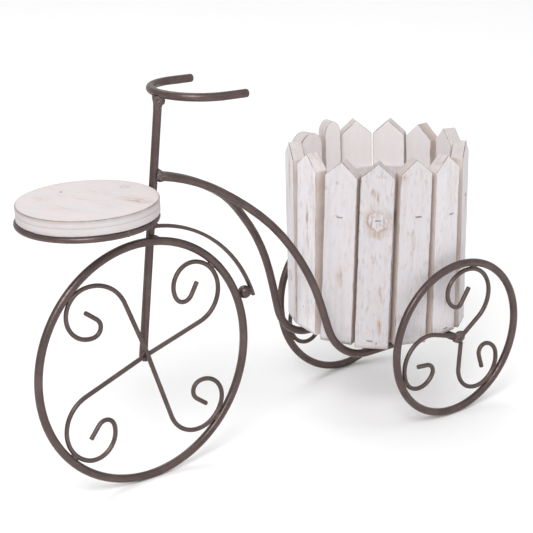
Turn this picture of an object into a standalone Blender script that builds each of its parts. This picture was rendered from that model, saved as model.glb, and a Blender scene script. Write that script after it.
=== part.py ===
"""Bicycle planter: a welded rod tricycle with a wooden picket basket and a round wooden seat.

The wheels, the frame and the handlebar are bent from round steel rod and welded. A round
wooden disc lies on a ring in front of the post. The basket, thirteen pickets round a base
board and an inner hoop, stands on the rear axle and a cross rod and lifts straight off.

Frame: metres, +Z up, +X towards the rear wheels, origin on the ground under the middle.
"""
import math

import bmesh
import bpy
from mathutils import Matrix, Vector

for old_object in list(bpy.data.objects):
    bpy.data.objects.remove(old_object, do_unlink=True)

# Stock and clearances
SEAT_GAP = 0.0003
MERGE_DISTANCE = 0.00001
FRAME_ROD = 0.008
SCROLL_ROD = 0.0045
RING_ROD = 0.006

# Wheels
FRONT_WHEEL_RADIUS = 0.115
REAR_WHEEL_RADIUS = 0.079
WHEELBASE = 0.3163
REAR_TRACK = 0.1848
REAR_CAMBER = math.radians(4)
WELD_SLUG_DIAMETER = 0.0115
WELD_SLUG_LENGTH = 0.008
WELD_SLUG_SET_BACK = 0.0035

# Post and handlebar
POST_SET_BACK = 0.0037
POST_TAIL = 0.002
POST_LEAN = math.radians(7.9)
BAR_HEIGHT = 0.3674
BAR_BEND_RADIUS = 0.0439
BAR_LEG = 0.0242
BAR_RAKE = math.radians(3.8)

# Frame tubes, from the post down to the rails under the basket
TUBE_HEAD_HEIGHT = 0.2906
TUBE_HEAD_SLOPE = math.radians(12.9)
UPPER_BEND_RADIUS = 0.206
UPPER_BEND = math.radians(36.5)
LOWER_BEND_RADIUS = 0.212
LOWER_BEND = math.radians(26.4)
RAIL_BEND_RADIUS = 0.046
RAIL_SPREAD = 0.0904
RAIL_LEVEL_INSET = 0.0334
RAIL_TAIL = 0.008
CROSS_ROD_REACH = 0.039

# Round seat in front of the post
DISC_RADIUS = 0.0653
DISC_THICKNESS = 0.0142
DISC_TOP = 0.2841
DISC_EDGE = 0.001
RING_INSET = 0.002
STRAP_WIDTH = 0.012
STRAP_THICKNESS = 0.002
SCREW_SPACING = 0.05
SCREW_DIAMETER = 0.0035
SCREW_HEAD_DIAMETER = 0.007
SCREW_HEAD_THICKNESS = 0.0016
SCREW_BITE = 0.009
HOLE_OVERRUN = 0.001

# Fender strip and the ball that holds it off the front wheel
FENDER_WIDTH = 0.0046
FENDER_THICKNESS = 0.0024
FENDER_BALL_DIAMETER = 0.0118
FENDER_START = math.radians(81.5)
FENDER_END = math.radians(14.5)
FENDER_BALL_ANGLE = math.radians(18)
FENDER_PULL_IN = 0.0039

# Basket
BASKET_SET_FORWARD = 0.0236
BASKET_SIDE_GAP = 0.0031
PICKET_THICKNESS = 0.0133
PICKET_GAP = 0.0022
PICKET_LENGTH = 0.187
PICKET_FOOT_LIFT = 0.001
PICKET_GABLE = 0.0145
PICKET_EDGE = 0.0006
BASE_THICKNESS = 0.0099
HOOP_THICKNESS = 0.003
HOOP_WIDTH = 0.014
HOOP_HEIGHT = 0.132

# Fineness of the round forms
RIM_STEPS = 56
RIM_SIDES = 10
ROD_BEVEL_STEPS = 2
ROD_SIDES = 12
TURNED_STEPS = 52
BEND_STEP = math.radians(13)
LONGEST_CHORD = 0.012

# Front scroll arms: start x and z from the hub, first run, three bend radii and the tail,
# as shares of the wheel's radius, then the heading and the three bends in degrees
FRONT_ARM_SHARES = {
    "upper_front": (0.015, 0.066, 0.499, 0.349, 0.220, 0.082, 0.138),
    "lower_rear": (0.029, 0.014, 0.605, 0.265, 0.183, 0.084, 0.117),
    "lower_front": (-0.011, 0.028, 0.583, 0.287, 0.198, 0.082, 0.128),
    "upper_rear": (0.041, 0.041, 0.548, 0.268, 0.186, 0.086, 0.120),
}
FRONT_ARM_TURNS = {
    "upper_front": (109.7, 77.8, 180.0, 134.5),
    "lower_rear": (-70.7, 143.1, 119.4, 131.4),
    "lower_front": (-162.2, 137.1, 129.7, 125.6),
    "upper_rear": (16.8, 152.9, 128.5, 120.7),
}
# Rear scroll arms, told the same way, the same on both rear wheels
REAR_ARM_SHARES = (
    (0.082, -0.006, 0.350, 0.388, 0.231, 0.070, 0.237),
    (0.006, 0.016, 0.389, 0.383, 0.242, 0.105, 0.168),
    (0.081, -0.060, 0.392, 0.340, 0.233, 0.109, 0.200),
)
REAR_ARM_TURNS = (
    (36.1, 179.0, 125.3, 77.1),
    (162.1, 132.2, 127.9, 111.7),
    (-93.4, 194.5, 67.6, 119.3),
)
# How far each tube has opened out along its length: share of the length, share of the spread
TUBE_SPREAD_SHARES = ((0.0, 0.0), (0.19, 0.0), (0.32, 0.48), (0.53, 0.80), (0.78, 1.0), (1.0, 1.0))
TUBE_EASING_SHARE = 0.035
# A rod's rounded end: distance from the tip and width there, as shares of the rod's radius
ROUND_END_SHARES = ((0.0, 0.5), (0.37, 0.87), (0.87, 1.0))
# A weld slug's outline: share of its radius, share of its length from the middle
SLUG_OUTLINE_SHARES = ((0.0, -0.5), (0.7, -0.5), (1.0, -0.25), (1.0, 0.25), (0.7, 0.5), (0.0, 0.5))
# Where each picket stands in degrees round the basket, how far its face is turned from there,
# how far it tilts along the ring and how far it leans outwards, all in degrees
PICKET_ANGLES = (
    (-131.4, -2.1, 3.5, 1.0),
    (-106.4, -1.8, 2.7, 1.6),
    (-80.0, -2.7, 1.3, 1.9),
    (-48.1, -4.2, 1.4, 1.8),
    (-14.7, -2.2, 1.0, 2.2),
    (13.7, -6.7, 0.5, 1.8),
    (39.5, -1.4, -0.4, 1.3),
    (65.4, 1.0, -0.8, 0.4),
    (87.0, -4.0, -0.2, -0.3),
    (114.0, -12.0, 0.6, -0.9),
    (146.7, 8.7, 1.2, -0.6),
    (174.9, -1.3, 2.5, -0.7),
    (204.2, 4.4, 3.6, -0.1),
)
# Each picket's stand-off and width as shares of the common ones, and its tip and foot above the
# common height as shares of the length
PICKET_SHARES = (
    (1.016, 0.97, 0.0, -0.016),
    (0.995, 0.982, 0.002, -0.009),
    (0.982, 1.009, -0.016, -0.002),
    (0.982, 1.006, -0.004, -0.024),
    (0.967, 1.008, -0.003, -0.014),
    (0.987, 0.99, -0.017, -0.009),
    (1.006, 0.981, -0.008, -0.003),
    (1.002, 0.987, 0.002, 0.004),
    (0.96, 0.557, 0.026, 0.01),
    (0.972, 1.007, 0.003, 0.014),
    (1.015, 0.999, 0.012, 0.008),
    (0.992, 1.007, 0.003, 0.013),
    (0.992, 0.986, -0.003, -0.002),
)
# Whether each picket's top is round instead of pointed
PICKET_ROUND_TOPS = (False,) * 8 + (True, True) + (False,) * 3
ROUND_TOP_ARC = math.radians(30)

# Places worked out from the sizes above
X_AXIS = Vector((1, 0, 0))
Y_AXIS = Vector((0, 1, 0))
Z_AXIS = Vector((0, 0, 1))
rod_radius = FRAME_ROD / 2
front_axle_x = (FRONT_WHEEL_RADIUS - REAR_WHEEL_RADIUS - WHEELBASE) / 2
rear_axle_x = front_axle_x + WHEELBASE
front_hub_z = FRONT_WHEEL_RADIUS + rod_radius
rear_hub_z = (REAR_WHEEL_RADIUS + rod_radius) * math.cos(REAR_CAMBER)
front_wheel_y = -(FRAME_ROD + SEAT_GAP)
rail_z = rear_hub_z - FRAME_ROD - SEAT_GAP
disc_bottom = DISC_TOP - DISC_THICKNESS
ring_z = disc_bottom - SEAT_GAP - RING_ROD / 2
basket_x = rear_axle_x - BASKET_SET_FORWARD
basket_z = rear_hub_z + rod_radius + SEAT_GAP
basket_radius = REAR_TRACK / 2 - SCROLL_ROD / 2 - BASKET_SIDE_GAP
picket_pitch = 2 * (basket_radius - PICKET_THICKNESS) * math.tan(math.pi / len(PICKET_SHARES))


def post_x(height):
    """Where the post's centre line stands at a height."""
    return front_axle_x + POST_SET_BACK + (height - front_hub_z) * math.tan(POST_LEAN)


def post_front_x(height):
    """The front of the post's round wall at a height."""
    return post_x(height) - rod_radius / math.cos(POST_LEAN)


def finish(piece, colour, roughness, metallic):
    """Give a piece its own material."""
    material = bpy.data.materials.new(piece.name + "_finish")
    material.use_nodes = True
    shader = material.node_tree.nodes["Principled BSDF"]
    shader.inputs["Base Color"].default_value = (*colour, 1)
    shader.inputs["Roughness"].default_value = roughness
    shader.inputs["Metallic"].default_value = metallic
    piece.data.materials.append(material)


def finish_steel(piece):
    """Dark bronze lacquer on welded steel."""
    finish(piece, (0.105, 0.080, 0.072), 0.42, 0.6)


def finish_wood(piece):
    """Limewashed pale wood."""
    finish(piece, (0.77, 0.74, 0.74), 0.8, 0.0)


def finish_zinc(piece):
    """Bright zinc on the hidden screws."""
    finish(piece, (0.55, 0.55, 0.56), 0.35, 1.0)


def add_object(name, data, location=(0, 0, 0), rotation=(0, 0, 0), parent=None):
    """Link an object into the scene at its place, under its parent if it has one."""
    piece = bpy.data.objects.new(name, data)
    bpy.context.scene.collection.objects.link(piece)
    piece.location = location
    piece.rotation_euler = rotation
    piece.parent = parent
    return piece


def mesh_from(name, shape):
    """Turn a bmesh into a smooth-shaded mesh whose sharp edges stay sharp."""
    bmesh.ops.recalc_face_normals(shape, faces=shape.faces)
    mesh = bpy.data.meshes.new(name)
    shape.to_mesh(mesh)
    shape.free()
    mesh.shade_smooth()
    mesh.set_sharp_from_angle(angle=math.radians(35))
    return mesh


def straight_rod(name, foot, head, foot_face=None, head_face=None):
    """A round bar between two centres, its ends square or cut along a face's normal."""
    axis = (head - foot).normalized()
    turn = Z_AXIS.rotation_difference(axis).to_matrix().to_4x4()
    shape = bmesh.new()
    bmesh.ops.create_cone(
        shape, cap_ends=True, segments=ROD_SIDES, radius1=rod_radius, radius2=rod_radius,
        depth=(head - foot).length, matrix=Matrix.Translation((foot + head) / 2) @ turn,
    )
    for vertex in shape.verts:
        near_foot = (vertex.co - foot).length < (vertex.co - head).length
        centre = foot if near_foot else head
        face = foot_face if near_foot else head_face
        if face is not None:
            vertex.co += axis * ((centre - vertex.co).dot(face) / axis.dot(face))
    return add_object(name, mesh_from(name, shape))


def rounded_tip(points, diameter):
    """Replace a path's last point by a few that narrow to a rounded tip."""
    tip = points[-1]
    back = (points[-2] - tip).normalized()
    knots = [(tip + back * share * diameter / 2, width) for share, width in ROUND_END_SHARES]
    return [(place, 1) for place in points[:-1]] + knots[::-1]


def bent_rod(name, knots, diameter, **placing):
    """A round rod swept along knots, each a place and a share of the rod's width there."""
    curve = bpy.data.curves.new(name, "CURVE")
    curve.dimensions = "3D"
    curve.bevel_depth = diameter / 2
    curve.bevel_resolution = ROD_BEVEL_STEPS
    curve.use_fill_caps = True
    spline = curve.splines.new("POLY")
    spline.points.add(len(knots) - 1)
    for knot, (place, width) in zip(spline.points, knots):
        knot.co = (*place, 1)
        knot.radius = width
    spline.use_smooth = True
    return add_object(name, curve, **placing)


def hoop(name, radius, rod_diameter, location, rotation, parent=None):
    """A closed ring of round rod."""
    bpy.ops.mesh.primitive_torus_add(
        major_radius=radius, minor_radius=rod_diameter / 2,
        major_segments=RIM_STEPS, minor_segments=RIM_SIDES,
    )
    ring = bpy.context.object
    ring.name = name
    ring.data.name = name
    ring.data.shade_smooth()
    ring.parent = parent
    ring.location = location
    ring.rotation_euler = rotation
    return ring


def turned(name, outline, steps=TURNED_STEPS, **placing):
    """A solid turned about Z from an outline of (radius, height) points."""
    shape = bmesh.new()
    corners = [shape.verts.new((radius, 0, height)) for radius, height in outline]
    for lower, upper in zip(corners, corners[1:]):
        shape.edges.new((lower, upper))
    bmesh.ops.spin(
        shape, geom=shape.verts[:] + shape.edges[:], axis=Z_AXIS, cent=(0, 0, 0),
        steps=steps, angle=math.tau, use_merge=True,
    )
    bmesh.ops.remove_doubles(shape, verts=shape.verts, dist=MERGE_DISTANCE)
    return add_object(name, mesh_from(name, shape), **placing)


def drilled(piece, cutter):
    """Cut a piece with a cutter that stays in the scene as a guide."""
    cutter.hide_render = True
    cutter.display_type = "WIRE"
    cut = piece.modifiers.new("Screw hole", "BOOLEAN")
    cut.operation = "DIFFERENCE"
    cut.solver = "EXACT"
    cut.object = cutter


def bend(points, heading, radius, turn):
    """Carry a path in the XZ plane round a bend, left when the turn is positive."""
    steps = math.ceil(max(abs(turn) / BEND_STEP, radius * abs(turn) / LONGEST_CHORD))
    step = turn / steps
    chord = 2 * radius * math.sin(abs(step) / 2)
    for _ in range(steps):
        heading += step / 2
        points.append(points[-1] + Vector((math.cos(heading), 0, math.sin(heading))) * chord)
        heading += step / 2
    return heading


def run(points, heading, length):
    """Carry a path in the XZ plane straight on."""
    points.append(points[-1] + Vector((math.cos(heading), 0, math.sin(heading))) * length)


def scroll_arm(shares, turns, wheel_radius, reach, hub_radius=0, hub_x=0):
    """A scroll from the hub out to the rim, grown or shrunk until it just reaches it."""
    start_x, start_z, first_run, outer, middle, inner, tail = (share * wheel_radius for share in shares)
    heading, *bends = (math.radians(turn) for turn in turns)
    start = Vector((start_x, 0, start_z))
    ahead = Vector((math.cos(heading), 0, math.sin(heading)))
    from_hub = start - X_AXIS * hub_x
    along = from_hub.dot(ahead)
    aside = max((from_hub - ahead * along).length - SCROLL_ROD / 2, 0)
    skipped = max(math.sqrt(max(hub_radius * hub_radius - aside * aside, 0)) - along, 0) if hub_radius else 0
    points = [start + ahead * skipped]
    run(points, heading, first_run - skipped)
    for radius, turn in zip((outer, middle, inner), bends):
        heading = bend(points, heading, radius, turn)
    run(points, heading, tail)
    farthest = max(points, key=lambda place: place.length)
    growth = reach / farthest.length
    hub_end = points[0]
    return [hub_end] + [place * growth for place in points[1:]]


# Wheels
def build_front_wheel():
    """The front rim and the two long rods, set apart where they cross, that curl into scrolls."""
    hub = add_object("front_hub", None, (front_axle_x, front_wheel_y, front_hub_z))
    rim = hoop("front_wheel_rim", FRONT_WHEEL_RADIUS, FRAME_ROD, (0, 0, 0), (math.pi / 2, 0, 0), hub)
    finish_steel(rim)
    rear_rod_y = rod_radius - SCROLL_ROD / 2
    front_rod_y = rear_rod_y - SCROLL_ROD - SEAT_GAP
    contact = rod_radius + SCROLL_ROD / 2 + SEAT_GAP
    reach = FRONT_WHEEL_RADIUS - contact
    rods = (
        ("front_scroll_rod_a", front_rod_y, "lower_rear", "upper_front"),
        ("front_scroll_rod_b", rear_rod_y, "lower_front", "upper_rear"),
    )
    for name, offset, first, last in rods:
        arms = [
            scroll_arm(FRONT_ARM_SHARES[arm], FRONT_ARM_TURNS[arm], FRONT_WHEEL_RADIUS, reach)
            for arm in (first, last)
        ]
        for arm in arms:
            arm[0] += Y_AXIS * offset
        knots = rounded_tip(arms[0], SCROLL_ROD)[::-1] + rounded_tip(arms[1], SCROLL_ROD)
        finish_steel(bent_rod(name, knots, SCROLL_ROD, parent=hub))


def build_rear_wheel(side_name, side):
    """A rear rim, its three scrolls and the slug of weld that joins them to the axle."""
    centre = (rear_axle_x, side * REAR_TRACK / 2, rear_hub_z)
    hub = add_object("rear_hub_" + side_name, None, centre, (-side * REAR_CAMBER, 0, 0))
    rim_name = "rear_wheel_rim_" + side_name
    rim = hoop(rim_name, REAR_WHEEL_RADIUS, FRAME_ROD, (0, 0, 0), (math.pi / 2, 0, 0), hub)
    finish_steel(rim)
    outline = [
        (across * WELD_SLUG_DIAMETER / 2, along * WELD_SLUG_LENGTH)
        for across, along in SLUG_OUTLINE_SHARES
    ]
    slug = turned(
        "rear_hub_weld_" + side_name, outline, ROD_SIDES,
        location=(WELD_SLUG_SET_BACK, 0, 0), rotation=(math.pi / 2, 0, 0), parent=hub,
    )
    finish_steel(slug)
    reach = REAR_WHEEL_RADIUS - rod_radius - SCROLL_ROD / 2 - SEAT_GAP
    hub_radius = WELD_SLUG_DIAMETER / 2 + SEAT_GAP
    for number, (shares, turns) in enumerate(zip(REAR_ARM_SHARES, REAR_ARM_TURNS), 1):
        arm = scroll_arm(shares, turns, REAR_WHEEL_RADIUS, reach, hub_radius, WELD_SLUG_SET_BACK)
        name = f"rear_scroll_{side_name}_{number}"
        finish_steel(bent_rod(name, rounded_tip(arm, SCROLL_ROD), SCROLL_ROD, parent=hub))


def build_rear_axle():
    """The axle, its ends cut along the leaning wheels' weld slugs."""
    inset = (WELD_SLUG_LENGTH / 2 + SEAT_GAP) / math.cos(REAR_CAMBER)
    half_length = REAR_TRACK / 2 - inset
    ends = [Vector((rear_axle_x, side * half_length, rear_hub_z)) for side in (-1, 1)]
    faces = [Vector((0, side * math.cos(REAR_CAMBER), -math.sin(REAR_CAMBER))) for side in (-1, 1)]
    finish_steel(straight_rod("rear_axle", *ends, *faces))


# Frame
def build_post_and_bar():
    """The leaning post, level at its top, and the horseshoe handlebar that lies on it."""
    foot_z = front_hub_z - POST_TAIL
    head_z = BAR_HEIGHT - rod_radius - SEAT_GAP
    foot = Vector((post_x(foot_z), 0, foot_z))
    head = Vector((post_x(head_z), 0, head_z))
    finish_steel(straight_rod("front_post", foot, head, head_face=Z_AXIS))
    steps = math.ceil(math.pi / BEND_STEP)
    angles = [math.pi * (1.5 - step / steps) for step in range(steps + 1)]
    arc = [
        Vector((BAR_BEND_RADIUS * (1 + math.cos(angle)), BAR_BEND_RADIUS * math.sin(angle), 0))
        for angle in angles
    ]
    leg = X_AXIS * BAR_LEG
    left_half = [arc[0] + leg] + arc[:len(arc) // 2]
    right_half = arc[len(arc) // 2:] + [arc[-1] + leg]
    knots = rounded_tip(left_half[::-1], FRAME_ROD)[::-1] + rounded_tip(right_half, FRAME_ROD)
    place = (post_x(BAR_HEIGHT), 0, BAR_HEIGHT)
    finish_steel(bent_rod("handlebar", knots, FRAME_ROD, location=place, rotation=(0, BAR_RAKE, 0)))


def tube_side_view():
    """The frame tube's path in side view, fitted between the post and the basket's front."""
    start_x = post_x(TUBE_HEAD_HEIGHT) + (rod_radius + SEAT_GAP) / math.cos(POST_LEAN)
    lean_back = rod_radius * math.tan(TUBE_HEAD_SLOPE - POST_LEAN)
    points = [Vector((start_x + lean_back, 0, TUBE_HEAD_HEIGHT))]
    heading = bend(points, -TUBE_HEAD_SLOPE, UPPER_BEND_RADIUS, -UPPER_BEND)
    heading = bend(points, heading, LOWER_BEND_RADIUS, -LOWER_BEND)
    drop_in_bend = RAIL_BEND_RADIUS * (1 - math.cos(heading))
    fall = points[-1].z - rail_z - drop_in_bend
    run(points, heading, fall / math.sin(-heading))
    heading = bend(points, heading, RAIL_BEND_RADIUS, -heading)
    head_x = points[0].x
    level_x = basket_x - basket_radius + RAIL_LEVEL_INSET
    stretch = (level_x - head_x) / (points[-1].x - head_x)
    for place in points:
        place.x = head_x + (place.x - head_x) * stretch
    run(points, heading, rear_axle_x + RAIL_TAIL - points[-1].x)
    return points


def spread_share(length_share):
    """How far the tubes have opened out, eased over the corners of the table."""
    total = 0
    samples = 9
    for sample in range(samples):
        offset = (2 * sample / (samples - 1) - 1) * TUBE_EASING_SHARE
        place = min(max(length_share + offset, 0), 1)
        for (start, start_value), (end, end_value) in zip(TUBE_SPREAD_SHARES, TUBE_SPREAD_SHARES[1:]):
            if start <= place <= end:
                total += start_value + (end_value - start_value) * (place - start) / (end - start)
                break
    return total / samples


def build_frame_tubes():
    """Two mirrored tubes, side by side at the post, that open out into the basket's rails."""
    path = tube_side_view()
    lengths = [0]
    for before, after in zip(path, path[1:]):
        lengths.append(lengths[-1] + (after - before).length)
    head_half = (FRAME_ROD + SEAT_GAP) / 2
    for side_name, side in (("left", -1), ("right", 1)):
        knots = []
        for place, length in zip(path, lengths):
            half = head_half + (RAIL_SPREAD / 2 - head_half) * spread_share(length / lengths[-1])
            knots.append((Vector((place.x, side * half, place.z)), 1))
        finish_steel(bent_rod("frame_tube_" + side_name, knots, FRAME_ROD))


def build_cross_rod():
    """The rod across the rails that carries the front of the basket."""
    half = RAIL_SPREAD / 2 + rod_radius
    ends = [Vector((basket_x - CROSS_ROD_REACH, side * half, rear_hub_z)) for side in (-1, 1)]
    finish_steel(straight_rod("basket_cross_rod", *ends))


def build_fender():
    """The strip behind the front wheel and the ball that holds it off the rim."""
    ball_radius = FENDER_BALL_DIAMETER / 2
    ball_reach = FRONT_WHEEL_RADIUS + rod_radius + SEAT_GAP + ball_radius
    strip_reach = ball_reach + ball_radius + SEAT_GAP + FENDER_THICKNESS / 2
    plane_y = -(rod_radius + SEAT_GAP + FENDER_WIDTH / 2)
    steps = math.ceil((FENDER_START - FENDER_END) / (BEND_STEP / 3))
    step = (FENDER_START - FENDER_END) / steps
    angles = [FENDER_START - step * count for count in range(steps + 1)]
    pull = FENDER_PULL_IN / (FENDER_START - FENDER_BALL_ANGLE)
    curve = bpy.data.curves.new("fender_strip", "CURVE")
    curve.dimensions = "2D"
    curve.fill_mode = "NONE"
    curve.bevel_depth = FENDER_THICKNESS / 2
    curve.bevel_resolution = ROD_BEVEL_STEPS
    curve.extrude = (FENDER_WIDTH - FENDER_THICKNESS) / 2
    curve.use_fill_caps = True
    spline = curve.splines.new("POLY")
    spline.points.add(steps)
    for knot, angle in zip(spline.points, angles):
        reach = strip_reach - pull * (angle - FENDER_BALL_ANGLE)
        knot.co = (reach * math.cos(angle), reach * math.sin(angle), 0, 1)
    place = (front_axle_x, plane_y, front_hub_z)
    strip = add_object("fender_strip", curve, location=place, rotation=(math.pi / 2, 0, 0))
    finish_steel(strip)
    shape = bmesh.new()
    bmesh.ops.create_uvsphere(shape, u_segments=ROD_SIDES, v_segments=ROD_SIDES, radius=ball_radius)
    ahead = Vector((math.cos(FENDER_BALL_ANGLE), 0, math.sin(FENDER_BALL_ANGLE)))
    ball = add_object("fender_ball", mesh_from("fender_ball", shape), Vector(place) + ahead * ball_reach)
    finish_steel(ball)


# Round seat
def build_seat():
    """The wooden disc, the ring and strap under it, and the two screws that hold it down."""
    disc_x = post_front_x(disc_bottom) - SEAT_GAP - DISC_RADIUS
    ring_radius = DISC_RADIUS - RING_INSET
    ring_x = post_front_x(ring_z) - SEAT_GAP - RING_ROD / 2 - ring_radius
    outline = (
        (0, 0), (DISC_RADIUS - DISC_EDGE, 0), (DISC_RADIUS, DISC_EDGE),
        (DISC_RADIUS, DISC_THICKNESS - DISC_EDGE), (DISC_RADIUS - DISC_EDGE, DISC_THICKNESS),
        (0, DISC_THICKNESS),
    )
    disc = turned("wood_disc", outline, location=(disc_x, 0, disc_bottom))
    finish_wood(disc)
    finish_steel(hoop("disc_ring", ring_radius, RING_ROD, (ring_x, 0, ring_z), (0, 0, 0)))
    free_radius = ring_radius - RING_ROD / 2 - SEAT_GAP
    half_length = math.sqrt(free_radius * free_radius - STRAP_WIDTH * STRAP_WIDTH / 4)
    shape = bmesh.new()
    size = Matrix.Diagonal((2 * half_length, STRAP_WIDTH, STRAP_THICKNESS, 1))
    bmesh.ops.create_cube(shape, size=1, matrix=size)
    strap_top = disc_bottom - SEAT_GAP
    place = (ring_x, 0, strap_top - STRAP_THICKNESS / 2)
    strap = add_object("disc_strap", mesh_from("disc_strap", shape), place)
    finish_steel(strap)
    strap_bottom = strap_top - STRAP_THICKNESS
    head_top = strap_bottom - SEAT_GAP
    tip_z = disc_bottom + SCREW_BITE
    hole_radius = SCREW_DIAMETER / 2 + SEAT_GAP
    for end_name, side in (("front", -1), ("rear", 1)):
        screw_x = ring_x + side * SCREW_SPACING / 2
        outline = (
            (0, 0), (SCREW_HEAD_DIAMETER / 2, 0), (SCREW_HEAD_DIAMETER / 2, SCREW_HEAD_THICKNESS),
            (SCREW_DIAMETER / 2, SCREW_HEAD_THICKNESS),
            (SCREW_DIAMETER / 2, tip_z - head_top + SCREW_HEAD_THICKNESS - SCREW_DIAMETER / 2),
            (0, tip_z - head_top + SCREW_HEAD_THICKNESS),
        )
        place = (screw_x, 0, head_top - SCREW_HEAD_THICKNESS)
        finish_zinc(turned("disc_screw_" + end_name, outline, ROD_SIDES, location=place))
        depth = tip_z + SEAT_GAP + HOLE_OVERRUN - head_top
        hole = ((0, 0), (hole_radius, 0), (hole_radius, depth), (0, depth))
        place = (screw_x, 0, head_top - HOLE_OVERRUN)
        cutter = turned("hole_" + end_name, hole, ROD_SIDES, location=place)
        drilled(strap, cutter)
        drilled(disc, cutter)


# Basket
def picket_outline(width, tip, foot, round_top):
    """A picket's face: square foot, and a gable or a round head up to the tip."""
    shoulder = tip - PICKET_GABLE
    half = width / 2
    corners = [(-half, foot), (half, foot), (half, shoulder)]
    if round_top:
        steps = round(math.pi / ROUND_TOP_ARC)
        angles = [math.pi * step / steps for step in range(1, steps)]
        corners += [(half * math.cos(angle), shoulder + PICKET_GABLE * math.sin(angle)) for angle in angles]
    else:
        corners.append((0, tip))
    corners.append((-half, shoulder))
    return corners


def inner_faces(low, high):
    """Which way each picket faces, and how near its inner face comes between two heights."""
    faces = []
    for (angle, turn, _, lean), shares in zip(PICKET_ANGLES, PICKET_SHARES):
        at_foot = basket_radius * shares[0] * math.cos(math.radians(turn)) - PICKET_THICKNESS
        slope = math.tan(math.radians(lean))
        faces.append((math.radians(angle + turn), at_foot + min(low * slope, high * slope)))
    return faces


def fitted_outline(faces, inset):
    """The corners of an outline whose every side runs along a picket's inner face."""
    corners = []
    for (facing, reach), (next_facing, next_reach) in zip(faces, faces[1:] + faces[:1]):
        turn = next_facing - facing
        along = (next_reach - inset - (reach - inset) * math.cos(turn)) / math.sin(turn)
        across = Vector((math.cos(facing), math.sin(facing), 0))
        corners.append(across * (reach - inset) + across.cross(Z_AXIS) * -along)
    return corners


def prism(name, corners, low, high, hole_corners=(), **placing):
    """An upright solid between two heights, with an upright hole through it if one is given."""
    shape = bmesh.new()
    outlines = [corners, hole_corners] if hole_corners else [corners]
    rings = [
        [[shape.verts.new(corner + Z_AXIS * height) for corner in outline] for height in (low, high)]
        for outline in outlines
    ]
    for lower, upper in rings:
        for here in range(len(lower)):
            shape.faces.new((lower[here - 1], lower[here], upper[here], upper[here - 1]))
    for level in (0, 1):
        outer = rings[0][level]
        if not hole_corners:
            shape.faces.new(outer)
            continue
        inner = rings[1][level]
        for here in range(len(outer)):
            shape.faces.new((outer[here - 1], outer[here], inner[here], inner[here - 1]))
    return add_object(name, mesh_from(name, shape), **placing)


def build_picket(number, angles, shares, round_top, basket):
    """One picket: its face drawn upright, tilted along the ring, thickened and leaned outwards."""
    angle, turn, tilt, lean = (math.radians(value) for value in angles)
    stand_off, width, tip, foot = shares
    outline = picket_outline(
        (picket_pitch - PICKET_GAP) * width, PICKET_FOOT_LIFT + PICKET_LENGTH * (1 + tip),
        PICKET_FOOT_LIFT + PICKET_LENGTH * foot, round_top,
    )
    middle = Matrix.Translation(Z_AXIS * PICKET_LENGTH / 2)
    leaned = Matrix.Rotation(lean, 4, "Y") @ middle @ Matrix.Rotation(-tilt, 4, "X")
    placed = leaned @ middle.inverted()
    shape = bmesh.new()
    faces = [
        [shape.verts.new(placed @ Vector((depth, y, z))) for y, z in outline]
        for depth in (-PICKET_THICKNESS, 0)
    ]
    for face in faces:
        shape.faces.new(face)
    for here in range(len(outline)):
        inner, outer = faces
        shape.faces.new((inner[here - 1], inner[here], outer[here], outer[here - 1]))
    name = f"picket_{number:02d}"
    reach = basket_radius * stand_off
    place = (reach * math.cos(angle), reach * math.sin(angle), 0)
    picket = add_object(name, mesh_from(name, shape), place, (0, 0, angle + turn), basket)
    softened = picket.modifiers.new("Softened edges", "BEVEL")
    softened.width = PICKET_EDGE
    softened.segments = 1
    finish_wood(picket)


def build_basket():
    """Base board, inner hoop and pickets, under one empty on the line that it lifts along."""
    basket = add_object("basket_lift", None, (basket_x, 0, basket_z))
    outline = fitted_outline(inner_faces(0, BASE_THICKNESS), SEAT_GAP)
    finish_wood(prism("basket_base", outline, 0, BASE_THICKNESS, parent=basket))
    low = HOOP_HEIGHT - HOOP_WIDTH / 2
    high = HOOP_HEIGHT + HOOP_WIDTH / 2
    faces = inner_faces(low, high)
    outside = fitted_outline(faces, SEAT_GAP)
    inside = fitted_outline(faces, SEAT_GAP + HOOP_THICKNESS)
    finish_wood(prism("basket_hoop", outside, low, high, inside, parent=basket))
    rows = zip(PICKET_ANGLES, PICKET_SHARES, PICKET_ROUND_TOPS)
    for number, (angles, shares, round_top) in enumerate(rows, 1):
        build_picket(number, angles, shares, round_top, basket)


build_front_wheel()
build_rear_wheel("left", -1)
build_rear_wheel("right", 1)
build_rear_axle()
build_post_and_bar()
build_frame_tubes()
build_cross_rod()
build_fender()
build_seat()
build_basket()
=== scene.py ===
"""Bicycle planter, dressed: bent steel rod, beads of weld and limewashed boards.

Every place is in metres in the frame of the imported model, which is loaded first.
"""
import math

import bmesh
import bpy
import numpy as np
from bpy.props import FloatProperty, FloatVectorProperty, PointerProperty
from mathutils import Matrix, Vector


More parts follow.
